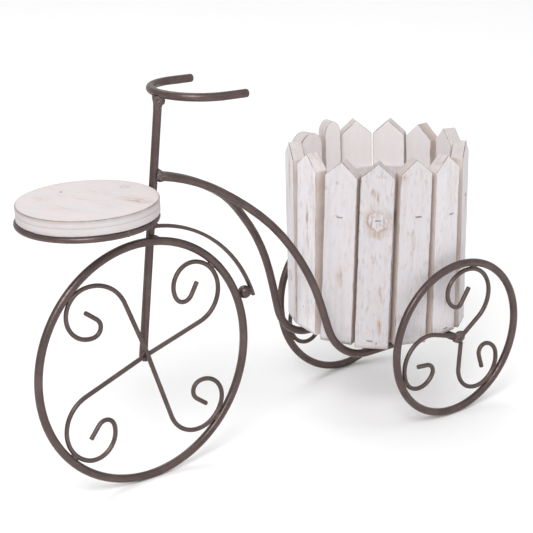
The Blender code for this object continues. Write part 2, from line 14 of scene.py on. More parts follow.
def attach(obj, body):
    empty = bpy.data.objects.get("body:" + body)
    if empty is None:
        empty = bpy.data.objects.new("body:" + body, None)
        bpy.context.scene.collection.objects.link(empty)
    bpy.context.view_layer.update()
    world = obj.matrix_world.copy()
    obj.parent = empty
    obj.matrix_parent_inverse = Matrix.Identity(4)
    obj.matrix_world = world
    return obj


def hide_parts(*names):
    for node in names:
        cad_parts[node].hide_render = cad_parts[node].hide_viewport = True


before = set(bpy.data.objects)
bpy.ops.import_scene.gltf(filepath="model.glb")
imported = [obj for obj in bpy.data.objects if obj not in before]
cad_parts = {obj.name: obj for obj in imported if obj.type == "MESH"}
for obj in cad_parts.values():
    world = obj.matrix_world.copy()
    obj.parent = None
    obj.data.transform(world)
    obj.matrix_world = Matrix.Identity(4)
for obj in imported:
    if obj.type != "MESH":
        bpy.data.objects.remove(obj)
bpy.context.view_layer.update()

bl_info = {
    "name": "Bicycle planter",
    "version": (1, 0, 0),
    "blender": (4, 5, 0),
    "location": "View3D > Sidebar > Planter",
    "description": "Builds and finishes the pieces of a rod bicycle planter on its packed frame",
    "category": "Object",
}

ACROSS = np.array((0.0, 1.0, 0.0))

# Rod stock and the gap between neighbours
FRAME_ROD = 0.008
SCROLL_ROD = 0.0045
RING_ROD = 0.006
SEAT_GAP = 0.0003
ROD_RADIUS = FRAME_ROD / 2
# Steps along a rod's rows and, in radians, along an arc, and the sides of a scroll rod; how a
# rod's width wanders along it and how far a ring's wandering runs out and back
ROD_STEP = 0.0014
ARC_STEP = 0.07
SCROLL_SIDES = 16
UNEVEN_PERIOD = 0.045
RING_RUN = 0.03

# Basket, which the rails under it follow
BASKET = np.array((0.15255, 0.0, 0.0871))
BASKET_RADIUS = 0.08705

# Wheels; the rear rims are drawn slimmer than their stock, so that they stay inside the solids' box
FRONT_RIM = 0.115
REAR_RIM = 0.079
REAR_RIM_ROD = 0.00776
FRONT_AXLE_X = -0.14015
REAR_AXLE_X = 0.17615
FRONT_HUB = np.array((FRONT_AXLE_X, -0.0083, 0.119))
REAR_TRACK = 0.1848
REAR_CAMBER = math.radians(4)
REAR_HUB_Z = (REAR_RIM + ROD_RADIUS) * math.cos(REAR_CAMBER)
HUB_WELD_RADIUS = 0.00575
HUB_WELD_SET_BACK = 0.0035
# Scrolls, as shares of the wheel's radius: the start's two places from the hub, the first straight,
# the radii of three arcs and the last straight; then the heading and the arcs' turns in degrees
FRONT_ARMS = {
    "upper_front": ((0.015, 0.066, 0.499, 0.349, 0.220, 0.082, 0.138), (109.7, 77.8, 180.0, 134.5)),
    "lower_rear": ((0.029, 0.014, 0.605, 0.265, 0.183, 0.084, 0.117), (-70.7, 143.1, 119.4, 131.4)),
    "lower_front": ((-0.011, 0.028, 0.583, 0.287, 0.198, 0.082, 0.128), (-162.2, 137.1, 129.7, 125.6)),
    "upper_rear": ((0.041, 0.041, 0.548, 0.268, 0.186, 0.086, 0.120), (16.8, 152.9, 128.5, 120.7)),
}
REAR_ARMS = (
    ((0.082, -0.006, 0.350, 0.388, 0.231, 0.070, 0.237), (36.1, 179.0, 125.3, 77.1)),
    ((0.006, 0.016, 0.389, 0.383, 0.242, 0.105, 0.168), (162.1, 132.2, 127.9, 111.7)),
    ((0.081, -0.060, 0.392, 0.340, 0.233, 0.109, 0.200), (-93.4, 194.5, 67.6, 119.3)),
)

# Post, handlebar and frame tubes; a tube's bends are radius and turn
POST_LEAN = math.radians(7.9)
POST_FOOT_Z = 0.117
POST_SET_BACK = 0.0037
BAR_HEIGHT = 0.3674
BAR_BEND = 0.0439
BAR_LEG = 0.0242
BAR_RAKE = math.radians(3.8)
POST_HEAD_Z = BAR_HEIGHT - ROD_RADIUS - SEAT_GAP
TUBE_HEAD_HEIGHT = 0.2906
TUBE_HEAD_SLOPE = math.radians(12.9)
TUBE_BENDS = ((0.206, math.radians(-36.5)), (0.212, math.radians(-26.4)))
RAIL_BEND = 0.046
RAIL_SPREAD = 0.0904
RAIL_TAIL = 0.008
RAIL_START = 0.0334
LEVEL_X = BASKET[0] - BASKET_RADIUS + RAIL_START
RAIL_Z = REAR_HUB_Z - FRAME_ROD - SEAT_GAP
SPREAD_LENGTHS = (0.0, 0.19, 0.32, 0.53, 0.78, 1.0)
SPREAD_WIDTHS = (0.0, 0.0, 0.48, 0.80, 1.0, 1.0)
SPREAD_EASING = 0.035
TUBE_ROWS = 160
CROSS_ROD_X = 0.11355
AXLE_SHORT_OF_WHEEL = 0.0042

# Round seat, its two edges and the seam between its glued layers, out and up from the wall's middle
DISC_RADIUS = 0.0653
DISC_THICKNESS = 0.0142
DISC_BOTTOM = 0.2699
DISC_LOW_EDGE = 0.001
DISC_TOP_EDGE = 0.0009
DISC_FLAT = DISC_RADIUS - 0.0016
DISC_SEAM = (
    (0, -0.003), (0, -0.0006), (-0.00015, -0.00015), (-0.00015, 0.00015), (0, 0.0006), (0, 0.003),
)
DISC_GRAIN = math.radians(-71)
DISC_GRAIN_OFFSET = 9.0
DISC_WANDER = 0.0022
DISC_SIDES = 160
# How worn the seam shows, and how far the wall takes its darker grey, which is painted shade that keeps the
# wall darker than the top.
# The seam is what lies further in than its inset and within its half height, and the wall what lies less far
# in than its own
SEAM_WEAR = 0.35
WALL_PAINTED_SHADE = 0.42
SEAM_INSET = 0.0001
SEAM_HALF = 0.0004
WALL_INSET = 0.0008
RING_Z = 0.2666
RING_RADIUS = 0.0633
RING_JOINT = math.radians(-88)

# Fender, drawn fuller than its flat stock
FENDER_WIDTH = 0.0046
FENDER_THICKNESS = 0.0024
FENDER_FULLNESS = 0.001
FENDER_BALL = 0.0128
FENDER_START = math.radians(81.5)
FENDER_END = math.radians(14.5)
FENDER_BALL_ANGLE = math.radians(18)
FENDER_PULL_IN = 0.0049
FENDER_POINTS = 110
FENDER_ROWS = 100
FENDER_END_MARGIN = 0.002
BALL_REACH = FRONT_RIM + ROD_RADIUS + SEAT_GAP + FENDER_BALL / 2
STRIP_REACH = BALL_REACH + FENDER_BALL / 2 + SEAT_GAP + FENDER_THICKNESS / 2
FENDER_CENTRE = FRONT_HUB * (1, 0, 1) - (0, ROD_RADIUS + SEAT_GAP + FENDER_WIDTH / 2, 0)

# Half sizes of the beads of weld at the rims, round the wheel, out and across
FRONT_RIM_BEAD = np.array((0.0052, 0.0019, 0.0022))
REAR_RIM_BEAD = np.array((0.0048, 0.0019, 0.0022))
RIM_LUMPINESS = 0.12
# Beads where the front scroll rods cross, on a rear hub's slug and at the seat's ring: place from
# the middle of the hub, the slug or the ring, half sizes, seed and lumpiness
CROSSING_BEADS = (((0.0030, 0.0036, 0.0026), (0.0044, 0.0024, 0.0050), 11, 0.16),)
HUB_LUMPS = (
    ((0, 0, 0), (0.0062, 0.0042, 0.0060), 2, 0.13),
    ((0.0035, 0, 0.0022), (0.0038, 0.0035, 0.0034), 5, 0.16),
    ((-0.0040, 0, -0.0012), (0.0036, 0.0034, 0.0036), 8, 0.16),
)
SEAT_BEADS = (
    ((RING_RADIUS + RING_ROD / 2 + SEAT_GAP - 0.0004, 0, 0), (0.0024, 0.0052, 0.0032), 6, 0.14),
    (
        (RING_RADIUS * math.cos(RING_JOINT), RING_RADIUS * math.sin(RING_JOINT), 0),
        (0.0042, 0.0032, 0.0032), 3, 0.10,
    ),
)
# Beads on the post: height, place from the post's middle there, half sizes
POST_BEADS = (
    (0.2323, (0, -0.0044, 0), (0.0082, 0.0034, 0.0046)),
    (0.2323, (0.0040, -0.0050, -0.0036), (0.0040, 0.0020, 0.0018)),
    (0.2455, (0, -0.0050, 0.0003), (0.0048, 0.0026, 0.0030)),
    (TUBE_HEAD_HEIGHT, (0.0090, 0, -0.0012), (0.0070, 0.0015, 0.0030)),
    (TUBE_HEAD_HEIGHT, (0.0046, -0.0030, -0.0022), (0.0030, 0.0056, 0.0032)),
    (POST_HEAD_Z, (0.0034, -0.0012, -0.0034), (0.0026, 0.0036, 0.0034)),
)
RAIL_BEAD = (0.0042, 0.0042, 0.0026)
RAIL_BEAD_DROP = 0.0042
FRAME_LUMPINESS = 0.09
# Weld drawn out over the tubes' heads and under the handlebar: both ends, half sizes between them
HEAD_FILLET_ENDS = ((0.0015, 0, 0.0024), (0.0130, 0, -0.0022))
HEAD_FILLET = ((0.0068, 0.0062), (0.0078, 0.0056), (0.0082, 0.0046), (0.0082, 0.0039), (0.0078, 0.0034))
NECK_FILLET_ENDS = (POST_HEAD_Z - 0.0105, POST_HEAD_Z + 0.0022)
NECK_FILLET = ((0.0039, 0.0039), (0.0043, 0.0042), (0.0048, 0.0046), (0.0056, 0.0052), (0.0060, 0.0056))
# Beads at the ball: inwards or outwards, half sizes, seed
BALL_BEADS = ((-1, (0.0026, 0.0016, 0.0026), 2), (1, (0.0026, 0.0013, 0.0020), 5))
BALL_BEAD_LUMPINESS = 0.14
BALL_LUMPINESS = 0.03

# Pickets
PICKET_THICKNESS = 0.0133
PICKET_WIDTH = 0.03416
PICKET_LENGTH = 0.187
PICKET_FOOT_LIFT = 0.001
PICKET_GABLE = 0.0145
# Each picket: degrees round the basket, turn, tilt along the ring and lean outwards, then its
# stand-off and width as shares of the common ones and its tip and foot as shares of the length
PICKETS = (
    (-131.4, -2.1, 3.5, 1.0, 1.016, 0.97, 0.0, -0.016),
    (-106.4, -1.8, 2.7, 1.6, 0.995, 0.982, 0.002, -0.009),
    (-80.0, -2.7, 1.3, 1.9, 0.982, 1.009, -0.016, -0.002),
    (-48.1, -4.2, 1.4, 1.8, 0.982, 1.006, -0.004, -0.024),
    (-14.7, -2.2, 1.0, 2.2, 0.967, 1.008, -0.003, -0.014),
    (13.7, -6.7, 0.5, 1.8, 0.987, 0.99, -0.017, -0.009),
    (39.5, -1.4, -0.4, 1.3, 1.006, 0.981, -0.008, -0.003),
    (65.4, 1.0, -0.8, 0.4, 1.002, 0.987, 0.002, 0.004),
    (87.0, -4.0, -0.2, -0.3, 0.96, 0.557, 0.026, 0.01),
    (114.0, -12.0, 0.6, -0.9, 0.972, 1.007, 0.003, 0.014),
    (146.7, 8.7, 1.2, -0.6, 1.015, 0.999, 0.012, 0.008),
    (174.9, -1.3, 2.5, -0.7, 0.992, 1.007, 0.003, 0.013),
    (204.2, 4.4, 3.6, -0.1, 0.992, 0.986, -0.003, -0.002),
)
ROUND_PICKETS = (9, 10)
# How a picket's sawn foot is softened: height above it and the outline's inset there
PICKET_FOOT = np.array((
    (0, PICKET_THICKNESS / 2), (0, 0.0011), (0.00025, 0.00045), (0.0007, 0.00012), (0.0013, 0),
))
PICKET_BODY_ROWS = 100
PICKET_HEAD_ROWS = 26
TIP_ROUNDING = 0.0006
SHOULDER_BLEND = 0.00035
SHOULDER_FULLNESS = 0.3
# How far the even rows stay off both ends of a board's straight part, and how far below the
# shoulder the head's close rows and the blend start
BODY_MARGIN = 0.004
HEAD_START = 0.003
BLEND_START = 0.002
# How far apart the boards lie in the noises of their finish
BOARD_APART = 0.5
# How deep long chips and short nicks bite into the sides, where these are wide enough, and how
# far the faces are hollowed
CHIP_DEPTH = 0.00045
NICK_DEPTH = 0.0005
CHIPPED_FROM = 0.004
FACE_HOLLOW = 0.00012
# Periods at which a board's chips, nicks, edges, rubbing, bow and hollow wander
CHIP_PERIOD, NICK_PERIOD, EDGE_PERIOD = 0.09, 0.016, 0.06
RUB_PERIOD, BOW_PERIOD, HOLLOW_PERIOD = 0.05, 0.16, 0.03
# Share of the worn edge everywhere and share that wanders
EDGE_MEAN, EDGE_SWING = 0.9, 0.45
# Least rubbing of an edge, what wandering adds, and the rubbing of a foot's edge and a gable's side
LEAST_RUBBED, MORE_RUBBED, FOOT_RUBBED, GABLE_RUBBED = 0.45, 0.65, 0.7, 0.2
# How far above the shoulder a gable begins, and how far it and a foot show as sawn
GABLE_FROM = 0.0008
GABLE_SAWN = 0.3
FOOT_SAWN = 0.5
# Pickets of which one side of the gable stayed nearly bare: the side, by the sign of across, how
# far it shows as sawn and how far the other side does
DARK_GABLES = {6: (-1, 1.0, 0.28), 2: (-1, 0.5, 0.28)}
# How light each board's wash is drawn, partly its own tone and partly painted light and shade for the way it
# faces the light, and how weathered it is, where not as the rest
WASH_AND_LIGHT_SHARES = {1: 0.83, 2: 0.86, 3: 1.02, 11: 1.08, 12: 1.16, 13: 0.93}
WEATHERED = {1: 0.55, 2: 0.42, 3: 0.3, 12: 0.34, 13: 0.26}
USUAL_WEATHER = 0.18

# Marks on the boards. Knots and stains: across, along, half width, half length and, where a stain
# isn't full, its strength. Specks: across, along and radius
DISC_KNOTS = ((0.0479, 0.0059, 0.0036, 0.0040),)
DISC_SPECKS = ((0.0086, -0.0373, 0.0017),)
DISC_STAINS = (
    (-0.001, -0.0128, 0.0012, 0.024), (0.020, 0.0430, 0.0080, 0.013), (0.018, 0.028, 0.010, 0.016, 0.28),
    (-0.0073, 0.0285, 0.008, 0.014, 0.25), (-0.019, -0.037, 0.010, 0.014, 0.30),
    (-0.031, -0.006, 0.009, 0.020, 0.20), (0.025, -0.005, 0.008, 0.016, 0.16),
)
PICKET_KNOTS = {
    1: ((0.0021, 0.1304, 0.0096, 0.0110),), 5: ((-0.006, 0.060, 0.005, 0.006),),
    8: ((0.005, 0.105, 0.004, 0.005),), 11: ((-0.004, 0.048, 0.004, 0.005),),
}
PICKET_STAINS = {
    1: (
        (-0.003, 0.158, 0.0035, 0.004), (0.001, 0.153, 0.002, 0.0035), (0.0065, 0.055, 0.003, 0.009, 0.6),
        (0.0072, 0.024, 0.0035, 0.011), (0.001, 0.1170, 0.0075, 0.0045, 0.7), (0.003, 0.004, 0.004, 0.002),
    ),
    2: ((-0.001, 0.105, 0.002, 0.014), (-0.013, 0.172, 0.003, 0.004)),
    3: ((0.004, 0.040, 0.003, 0.010),),
    4: ((-0.004, 0.020, 0.004, 0.010), (0.003, 0.120, 0.003, 0.012)),
    11: ((0.001, 0.150, 0.003, 0.024),),
    12: ((0.002, 0.125, 0.003, 0.012), (0.003, 0.100, 0.003, 0.008)),
    13: ((-0.003, 0.166, 0.0018, 0.002), (-0.0150, 0.1600, 0.0012, 0.003), (0.002, 0.070, 0.003, 0.010)),
}
NAIL_HOLES = {12: ((-0.0055, 0.0275, 0.0008), (0.0027, 0.0030, 0.0008)), 13: ((-0.0040, 0.1330, 0.0006),)}
# Noises of the limewash: scale along the grain as a share of that across, scale across per metre,
# detail and roughness. They are the grain lines, about 1.6 mm apart, the streaks of the brush,
# 7 mm wide, its clouds, 17 mm across, the rubbed places, 10 mm, and the dashes, 3 mm, where the
# wash skipped
BOARD_NOISES = (
    (0.07, 620.0, 4.0, 0.5), (0.07, 150.0, 5.0, 0.5), (1.0, 60.0, 6.0, 0.62), (0.3, 105.0, 6.0, 0.65),
    (0.28, 330.0, 5.0, 0.6),
)
STAIN_RAGGED, SPECK_RAGGED, KNOT_RAGGED = 2.6, 0.8, 1.5

# Staples through the pickets into the hoop and the base: picket, across, height, all on the face
STAPLES = (
    (13, -0.0003, 0.1317), (1, 0.0018, 0.1312), (2, 0.0035, 0.1312), (3, 0.0069, 0.1246),
    (4, 0.002, 0.131), (5, -0.003, 0.133), (6, 0.001, 0.130), (7, 0.004, 0.132), (8, -0.002, 0.1325),
    (10, 0.001, 0.131), (1, -0.0018, 0.0062), (3, 0.003, 0.0058), (5, 0.001, 0.006),
    (7, -0.002, 0.0055), (10, 0.002, 0.0065),
)
# A staple's crown, outwards and across, in wire thicker than real, so that it shows
STAPLE_CROWN = np.array((
    (-0.0012, -0.0036), (0.0001, -0.0034), (0.00025, -0.0030), (0.00025, 0.0030), (0.0001, 0.0034),
    (-0.0012, 0.0036),
))
STAPLE_WIRE = 0.0012
STAPLE_UNEVENNESS = 0.00003
STAPLE_SLOPE = 0.08

# Stage: each light's place, size and share of the key light's power
LIGHTS = {
    "key_light": ((-1.7, -1.5, 2.2), 1.5, 1.0),
    "fill_light": ((1.4, -2.6, 2.4), 2.0, 0.20),
    "back_light": ((0.6, 2.0, 2.8), 2.0, 0.40),
}
LIGHT_TARGET = Vector((0, 0, 0.15))
FLOOR_HALF = 12
FLOOR_STEPS = 12
# Camera, measured on the photograph, 533 pixels wide
CAMERA_PLACE = (-1.0479, -1.4263, 0.7742)
CAMERA_AZIMUTH = math.radians(-36.573)
CAMERA_ELEVATION = math.radians(18.682)
CAMERA_ROLL = math.radians(-2.387)
CAMERA_SHIFT = (0.00266, 0.0017)
SENSOR_WIDTH = 36
LENS = 1927.97 / 533 * SENSOR_WIDTH

# How a cut rod end is softened: distance from the end and width there, as shares of the radius
END_SHARES = np.array(((0.0, 0.0), (0.0, 0.7), (0.07, 0.87), (0.22, 0.97), (0.45, 1.0)))
# How far the outermost point goes, as a share of the two steps beside it, and how near to each
# other points are merged
HAIR = 0.001
MERGED_WITHIN = 0.000002
# How a lump of weld wanders: three waves, each by its direction, its share and its seed's share
LUMP_WAVES = np.array(((5.1, 3.2, 4.4), (-3.7, 6.3, 2.1), (9.3, -7.7, 8.1)))
LUMP_SHARES = np.array((1.0, 1.0, 0.6))
LUMP_SEEDS = np.array((1.0, 2.3, 4.1))


def linear(hex_colour):
    """An sRGB hex colour turned linear."""
    parts = [int(hex_colour[place:place + 2], 16) / 255 for place in (1, 3, 5)]
    return tuple(part / 12.92 if part <= 0.04045 else ((part + 0.055) / 1.055) ** 2.4 for part in parts)


class PlanterSteelSettings(bpy.types.PropertyGroup):
    """What a user would change on the lacquered rod."""

    lacquer: FloatVectorProperty(
        name="Lacquer", description="Dark bronze lacquer on the rods", subtype="COLOR",
        size=3, min=0, max=1, default=linear("#594c4a"),
    )
    rubbed: FloatVectorProperty(
        name="Rubbed lacquer", description="Browner tone where the lacquer lies thin", subtype="COLOR",
        size=3, min=0, max=1, default=linear("#70605b"),
    )
    unevenness: FloatProperty(
        name="Unevenness", description="How far hand bending leaves the rod short of its width",
        unit="LENGTH", default=0.00006, min=0, max=0.0005, precision=5,
    )
    weld_fullness: FloatProperty(
        name="Weld fullness", description="Size of the beads of weld against the measured ones",
        subtype="FACTOR", default=1.0, min=0.3, max=1.5,
    )


class PlanterWoodSettings(bpy.types.PropertyGroup):
    """What a user would change on the boards."""

    wash: FloatVectorProperty(
        name="Limewash", description="The white wash where it lies full", subtype="COLOR",
        size=3, min=0, max=1, default=linear("#d6d2d5"),
    )
    thin_wash: FloatVectorProperty(
        name="Thin wash", description="The wash where the wood shows through it", subtype="COLOR",
        size=3, min=0, max=1, default=linear("#bfb4b1"),
    )
    bare: FloatVectorProperty(
        name="Bare wood", description="Wood where the wash has rubbed off", subtype="COLOR",
        size=3, min=0, max=1, default=linear("#a7866f"),
    )
    flank: FloatVectorProperty(
        name="Sawn flanks", description="The sawn narrow faces, washed only lightly", subtype="COLOR",
        size=3, min=0, max=1, default=linear("#c6b5ab"),
    )
    worn_edge: FloatProperty(
        name="Worn edge", description="Radius that handling has given the edges",
        unit="LENGTH", default=0.001, min=0.0002, max=0.003, precision=4,
    )
    bow: FloatProperty(
        name="Bow", description="How far a dried board wanders from flat",
        unit="LENGTH", default=0.00022, min=0, max=0.002, precision=5,
    )


class PlanterStageSettings(bpy.types.PropertyGroup):
    """What a user would change on the stage."""

    floor: FloatVectorProperty(
        name="Floor", description="Matt pale card under the planter", subtype="COLOR",
        size=3, min=0, max=1, default=linear("#fdfdfd"),
    )
    key_power: FloatProperty(
        name="Key light", description="Power of the large soft light", unit="POWER",
        default=49.0, min=0, max=500,
    )
    sky: FloatProperty(
        name="Surround", description="Brightness of the white surround", default=0.73, min=0, max=3,
    )
    lens: FloatProperty(
        name="Lens", description="Focal length of the camera", unit="CAMERA",
        default=LENS, min=10, max=500,
    )


# Surfaces

def waver(values, seed, period):
    """Smooth wandering between about -1 and 1: four sines whose periods shrink by 1.6 each."""
    phases = np.array((0.3, 1.7, 4.1, 5.3)) + seed * np.array((1.9, 2.7, 0.7, 3.1))
    shares = np.array((0.45, 0.27, 0.17, 0.11))
    angles = 2 * math.pi * np.asarray(values)[..., None] / period * 1.6 ** np.arange(4) + phases
    return (np.sin(angles) * shares).sum(axis=-1)


def unit(vectors):
    """Vectors divided by their lengths."""
    return vectors / np.linalg.norm(vectors, axis=-1, keepdims=True)


def lengths_along(path):
    """Distance run along a path at each of its points."""
    return np.concatenate(((0.0,), np.cumsum(np.linalg.norm(np.diff(path, axis=0), axis=1))))


def places_at(path, distances):
    """Points on a path at distances run along it, straight between its own points."""
    run = lengths_along(path)
    return np.stack([np.interp(distances, run, path[:, axis]) for axis in range(3)], axis=1)


def eased(path, reach, spacing=0.0012):
    """The path in even steps, each point the weighted mean of its neighbours within reach.

    The path is mirrored through its ends first, so they stay where they are.
    """
    total = lengths_along(path)[-1]
    even = places_at(path, np.linspace(0, total, max(int(total / spacing), 8) + 1))
    weights = np.hanning(2 * reach + 3)[1:-1]
    weights /= weights.sum()
    longer = np.pad(even, ((reach, reach), (0, 0)), mode="reflect", reflect_type="odd")
    return np.stack([np.convolve(longer[:, axis], weights, "valid") for axis in range(3)], axis=1)


def carried(path, profile, reference, widths, closed=False):
    """A profile carried along a path.

    Point (i, j) is path point i plus width i times profile point j, laid out along two
    directions across the path: the reference less its part along the path, and the path's
    direction crossed with that.
    """
    ahead = np.roll(path, -1, axis=0) - np.roll(path, 1, axis=0)
    if not closed:
        ahead[0] = path[2] - path[0]
        ahead[-1] = path[-1] - path[-3]
    ahead = unit(ahead)
    reference = np.asarray(reference, float)
    side = unit(reference - (ahead @ reference)[:, None] * ahead)
    other = np.cross(ahead, side)
    offsets = profile[None, :, :1] * side[:, None] + profile[None, :, 1:] * other[:, None]
    return path[:, None] + widths[:, None, None] * offsets


def angles_round(count):
    """Even angles once round."""
    return np.linspace(0, 2 * math.pi, count, endpoint=False)


def ways(angles):
    """Cosine and sine of each angle."""
    return np.stack((np.cos(angles), np.sin(angles)), axis=-1)


def circle(radius, sides):
    """Points round a circle: radius times cosine and sine of even angles."""
    return radius * ways(angles_round(sides))


def lump(centre, radii, seed, lumpiness, axes=None):
    """A bead of weld: an ellipsoid whose radius wanders with the direction.

    Point (i, j) is the centre plus the direction at polar angle i and turn j times the three
    radii, times one plus a few sines of that direction.
    """
    polar = np.linspace(0, math.pi, 17)[:, None, None]
    turn = ways(angles_round(24))[None]
    way = np.concatenate((np.sin(polar) * turn, np.cos(polar) + 0 * turn[..., :1]), axis=-1)
    waves = (np.sin(way @ LUMP_WAVES.T + seed * LUMP_SEEDS) * LUMP_SHARES).sum(axis=-1, keepdims=True)
    grid = way * np.asarray(radii) * (1 + lumpiness * waves / LUMP_SHARES.sum())
    if axes is not None:
        grid = grid @ unit(np.asarray(axes, float))
    return grid + np.asarray(centre)


def lumps_at(origin, beads, fullness=1.0, further=0):
    """Beads from a list of place, half sizes, seed and lumpiness, their places from the origin."""
    return [
        lump(np.asarray(origin) + place, np.array(radii) * fullness, seed + further, lumpiness)
        for place, radii, seed, lumpiness in beads
    ]


def fillet(start, end, radii, seed):
    """Weld drawn out smoothly from start to end, closed flat at both.

    Row i is an ellipse across that line, its radii along y and square to it read from the
    list and dimpled a little by sines of the turn and the row.
    """
    start, end = (np.asarray(place, float) for place in (start, end))
    ahead = unit(end - start)
    side = unit(ACROSS - (ahead @ ACROSS) * ahead)
    shares = np.concatenate(((0.0,), np.linspace(0, 1, 13), (1.0,)))[:, None]
    stations = np.linspace(0, 1, len(radii))
    wide, high = (np.interp(shares, stations, column) for column in np.transpose(radii))
    turn = angles_round(28)[None, :]
    dimples = 1 + 0.02 * (np.sin(3 * turn + seed + 7 * shares) + np.sin(5 * turn - 9 * shares + 2 * seed))
    dimples[[0, -1]] = 0
    across = (wide * np.cos(turn) * dimples)[..., None] * side
    upward = (high * np.sin(turn) * dimples)[..., None] * np.cross(ahead, side)
    return start + shares[..., None] * (end - start) + across + upward


def in_scene(name, data):
    """A new object of that data in the scene."""
    thing = bpy.data.objects.new(name, data)
    bpy.context.scene.collection.objects.link(thing)
    return thing


def surface(name, grids, closed_rows=False, **values):
    """One smooth closed mesh from grids of points, each joined round its second direction.

    Doubled points at poles and seams are merged and the faces turned outwards. The values
    are kept on the points: numbers where a point has one, vectors where it has three.
    """
    points, faces, start = [], [], 0
    for grid in grids:
        rows, columns = grid.shape[:2]
        below = np.arange(rows if closed_rows else rows - 1)[:, None]
        here = np.arange(columns)[None, :]
        above, beside = (below + 1) % rows * columns, (here + 1) % columns
        below = below * columns
        quads = np.stack((below + here, below + beside, above + beside, above + here), axis=-1)
        faces.append(quads.reshape(-1, 4) + start)
        points.append(grid.reshape(-1, 3))
        start += rows * columns
    mesh = bpy.data.meshes.new(name)
    mesh.from_pydata(np.concatenate(points).tolist(), [], np.concatenate(faces).tolist())
    for label, data in values.items():
        data = np.asarray(data, dtype=np.float32)
        kind, field = ("FLOAT_VECTOR", "vector") if data.ndim == 3 else ("FLOAT", "value")
        mesh.attributes.new(label, kind, "POINT").data.foreach_set(field, data.ravel())
    shape = bmesh.new()
    shape.from_mesh(mesh)
    bmesh.ops.remove_doubles(shape, verts=shape.verts, dist=MERGED_WITHIN)
    bmesh.ops.recalc_face_normals(shape, faces=shape.faces)
    shape.to_mesh(mesh)
    shape.free()
    mesh.shade_smooth()
    return in_scene(name, mesh)


def dressed(piece, body, slot, material, *nodes):
    """Hang a piece on its body and hide the nodes it stands for; its slot is not used."""
    piece.data.materials.append(material)
    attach(piece, body)
    if nodes:
        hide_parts(*nodes)


def frame_piece(name, grids, *nodes, finish=None, closed_rows=False):
    """A steel piece of the frame, in the rods' lacquer or, where given, another finish."""
    piece = surface(name, grids, closed_rows)
    dressed(piece, "frame", "bronzed_steel", stock(finish or satin_bronze_lacquer_on_steel), *nodes)


def refinish(node, material):
    """Give a node that keeps its solid another finish."""
    for slot in bpy.data.objects[node].material_slots:
        slot.link = "OBJECT"
        slot.material = material


def softened(path, radius, margin, rows):
    """Even points along a path and closer ones at its two cut ends.

    Their distances along the path and their shares of the full width come with them. The
    outermost points would fall on their neighbours and are set a hair further out, so that the
    path keeps a direction there.
    """
    total = lengths_along(path)[-1]
    ends = END_SHARES[:, 0] * radius
    distances = np.concatenate((ends, np.linspace(margin, total - margin, rows), total - ends[::-1]))
    widths = np.concatenate((END_SHARES[:, 1], np.ones(rows), END_SHARES[::-1, 1]))
    middle = places_at(path, distances)
    middle[0] = middle[1] - (middle[3] - middle[1]) * HAIR
    middle[-1] = middle[-2] + (middle[-2] - middle[-4]) * HAIR
    return middle, distances, widths


def uneven_share(values, radius, seed, unevenness):
    """Share of the radius left by the unevenness, which wanders between none and all of it."""
    return 1 - unevenness / radius * (0.5 + 0.5 * waver(values, seed, UNEVEN_PERIOD))


def rod_grid(corners, diameter, reference, seed, unevenness, easing=2, sides=20):
    """Round rod along a path: a circle carried along it, narrowed to softened cut ends."""
    radius = diameter / 2
    path = eased(np.asarray(corners, float), easing)
    rows = max(int(lengths_along(path)[-1] / ROD_STEP), 6)
    middle, distances, widths = softened(path, radius, END_SHARES[-1, 0] * radius * 2, rows)
    widths = widths * uneven_share(distances, radius, seed, unevenness)
    return carried(middle, circle(radius, sides), reference, widths)


def ring_grid(radius, diameter, up, centre, seed, unevenness, steps):
    """A closed ring of rod: a circle carried round a larger one in the plane of x and up."""
    flat = circle(radius, steps)
    widths = uneven_share(flat[:, 0] / radius * RING_RUN, diameter / 2, seed, unevenness)
    path = in_wheel(flat, centre, up)
    return carried(path, circle(diameter / 2, 20), np.cross((1, 0, 0), up), widths, closed=True)


# Paths

def bends(start, heading, legs):
    """A path of straight legs and arcs, each leaving in the direction in which the last arrived.

    A leg is a length and no turn, or a radius and a turn. An arc's points are its centre plus
    its radius times cosine and sine of even angles.
    """
    points = [np.asarray(start, float)[None]]
    for size, turn in legs:
        here = points[-1][-1]
        if not turn:
            points.append((here + size * ways(heading))[None])
            continue
        side = math.copysign(math.pi / 2, turn)
        angles = heading - side + turn * np.linspace(0, 1, max(int(abs(turn) / ARC_STEP), 2) + 1)[1:]
        points.append(here + size * ways(heading + side) + size * ways(angles))
        heading += turn
    return np.concatenate(points), heading


def scroll(arm, wheel_radius, reach, hub_radius=0.0, hub_x=0.0):
    """A scroll in its wheel's plane, from the hub out, scaled until its far point has the reach."""
    shares, turns = arm
    start_x, start_z, first, outer, middle, inner, tail = np.array(shares) * wheel_radius
    heading, *turns = np.radians(turns)
    start, ahead = np.array((start_x, start_z)), ways(heading)
    from_hub = start - (hub_x, 0)
    along = from_hub @ ahead
    aside = max(np.linalg.norm(from_hub - ahead * along) - SCROLL_ROD / 2, 0)
    skipped = max(math.sqrt(max(hub_radius ** 2 - aside ** 2, 0)) - along, 0) if hub_radius else 0
    legs = [(first - skipped, 0)] + list(zip((outer, middle, inner), turns)) + [(tail, 0)]
    path, _ = bends(start + ahead * skipped, heading, legs)
    path[1:] *= reach / np.linalg.norm(path, axis=1).max()
    return path


def in_wheel(flat, hub, up):
    """Points of a wheel's plane set in place: the hub plus x and plus up by their two measures."""
    return flat[:, :1] * (1, 0, 0) + flat[:, 1:] * np.asarray(up) + hub


def rim_bead(flat, rim, hub, up, across, radii, seed):
    """The bead where a scroll's far point meets the rim: a lump round the wheel, out and across."""
    out = unit(in_wheel(flat[[np.linalg.norm(flat, axis=1).argmax()]], 0, up)[0])
    axes = (np.cross(out, across), out, across)
    return lump(hub + out * (rim - ROD_RADIUS), radii, seed, RIM_LUMPINESS, axes)


def post_x(height):
    """Where the post's centre line stands at a height."""
    return FRONT_AXLE_X + POST_SET_BACK + (height - FRONT_HUB[2]) * math.tan(POST_LEAN)


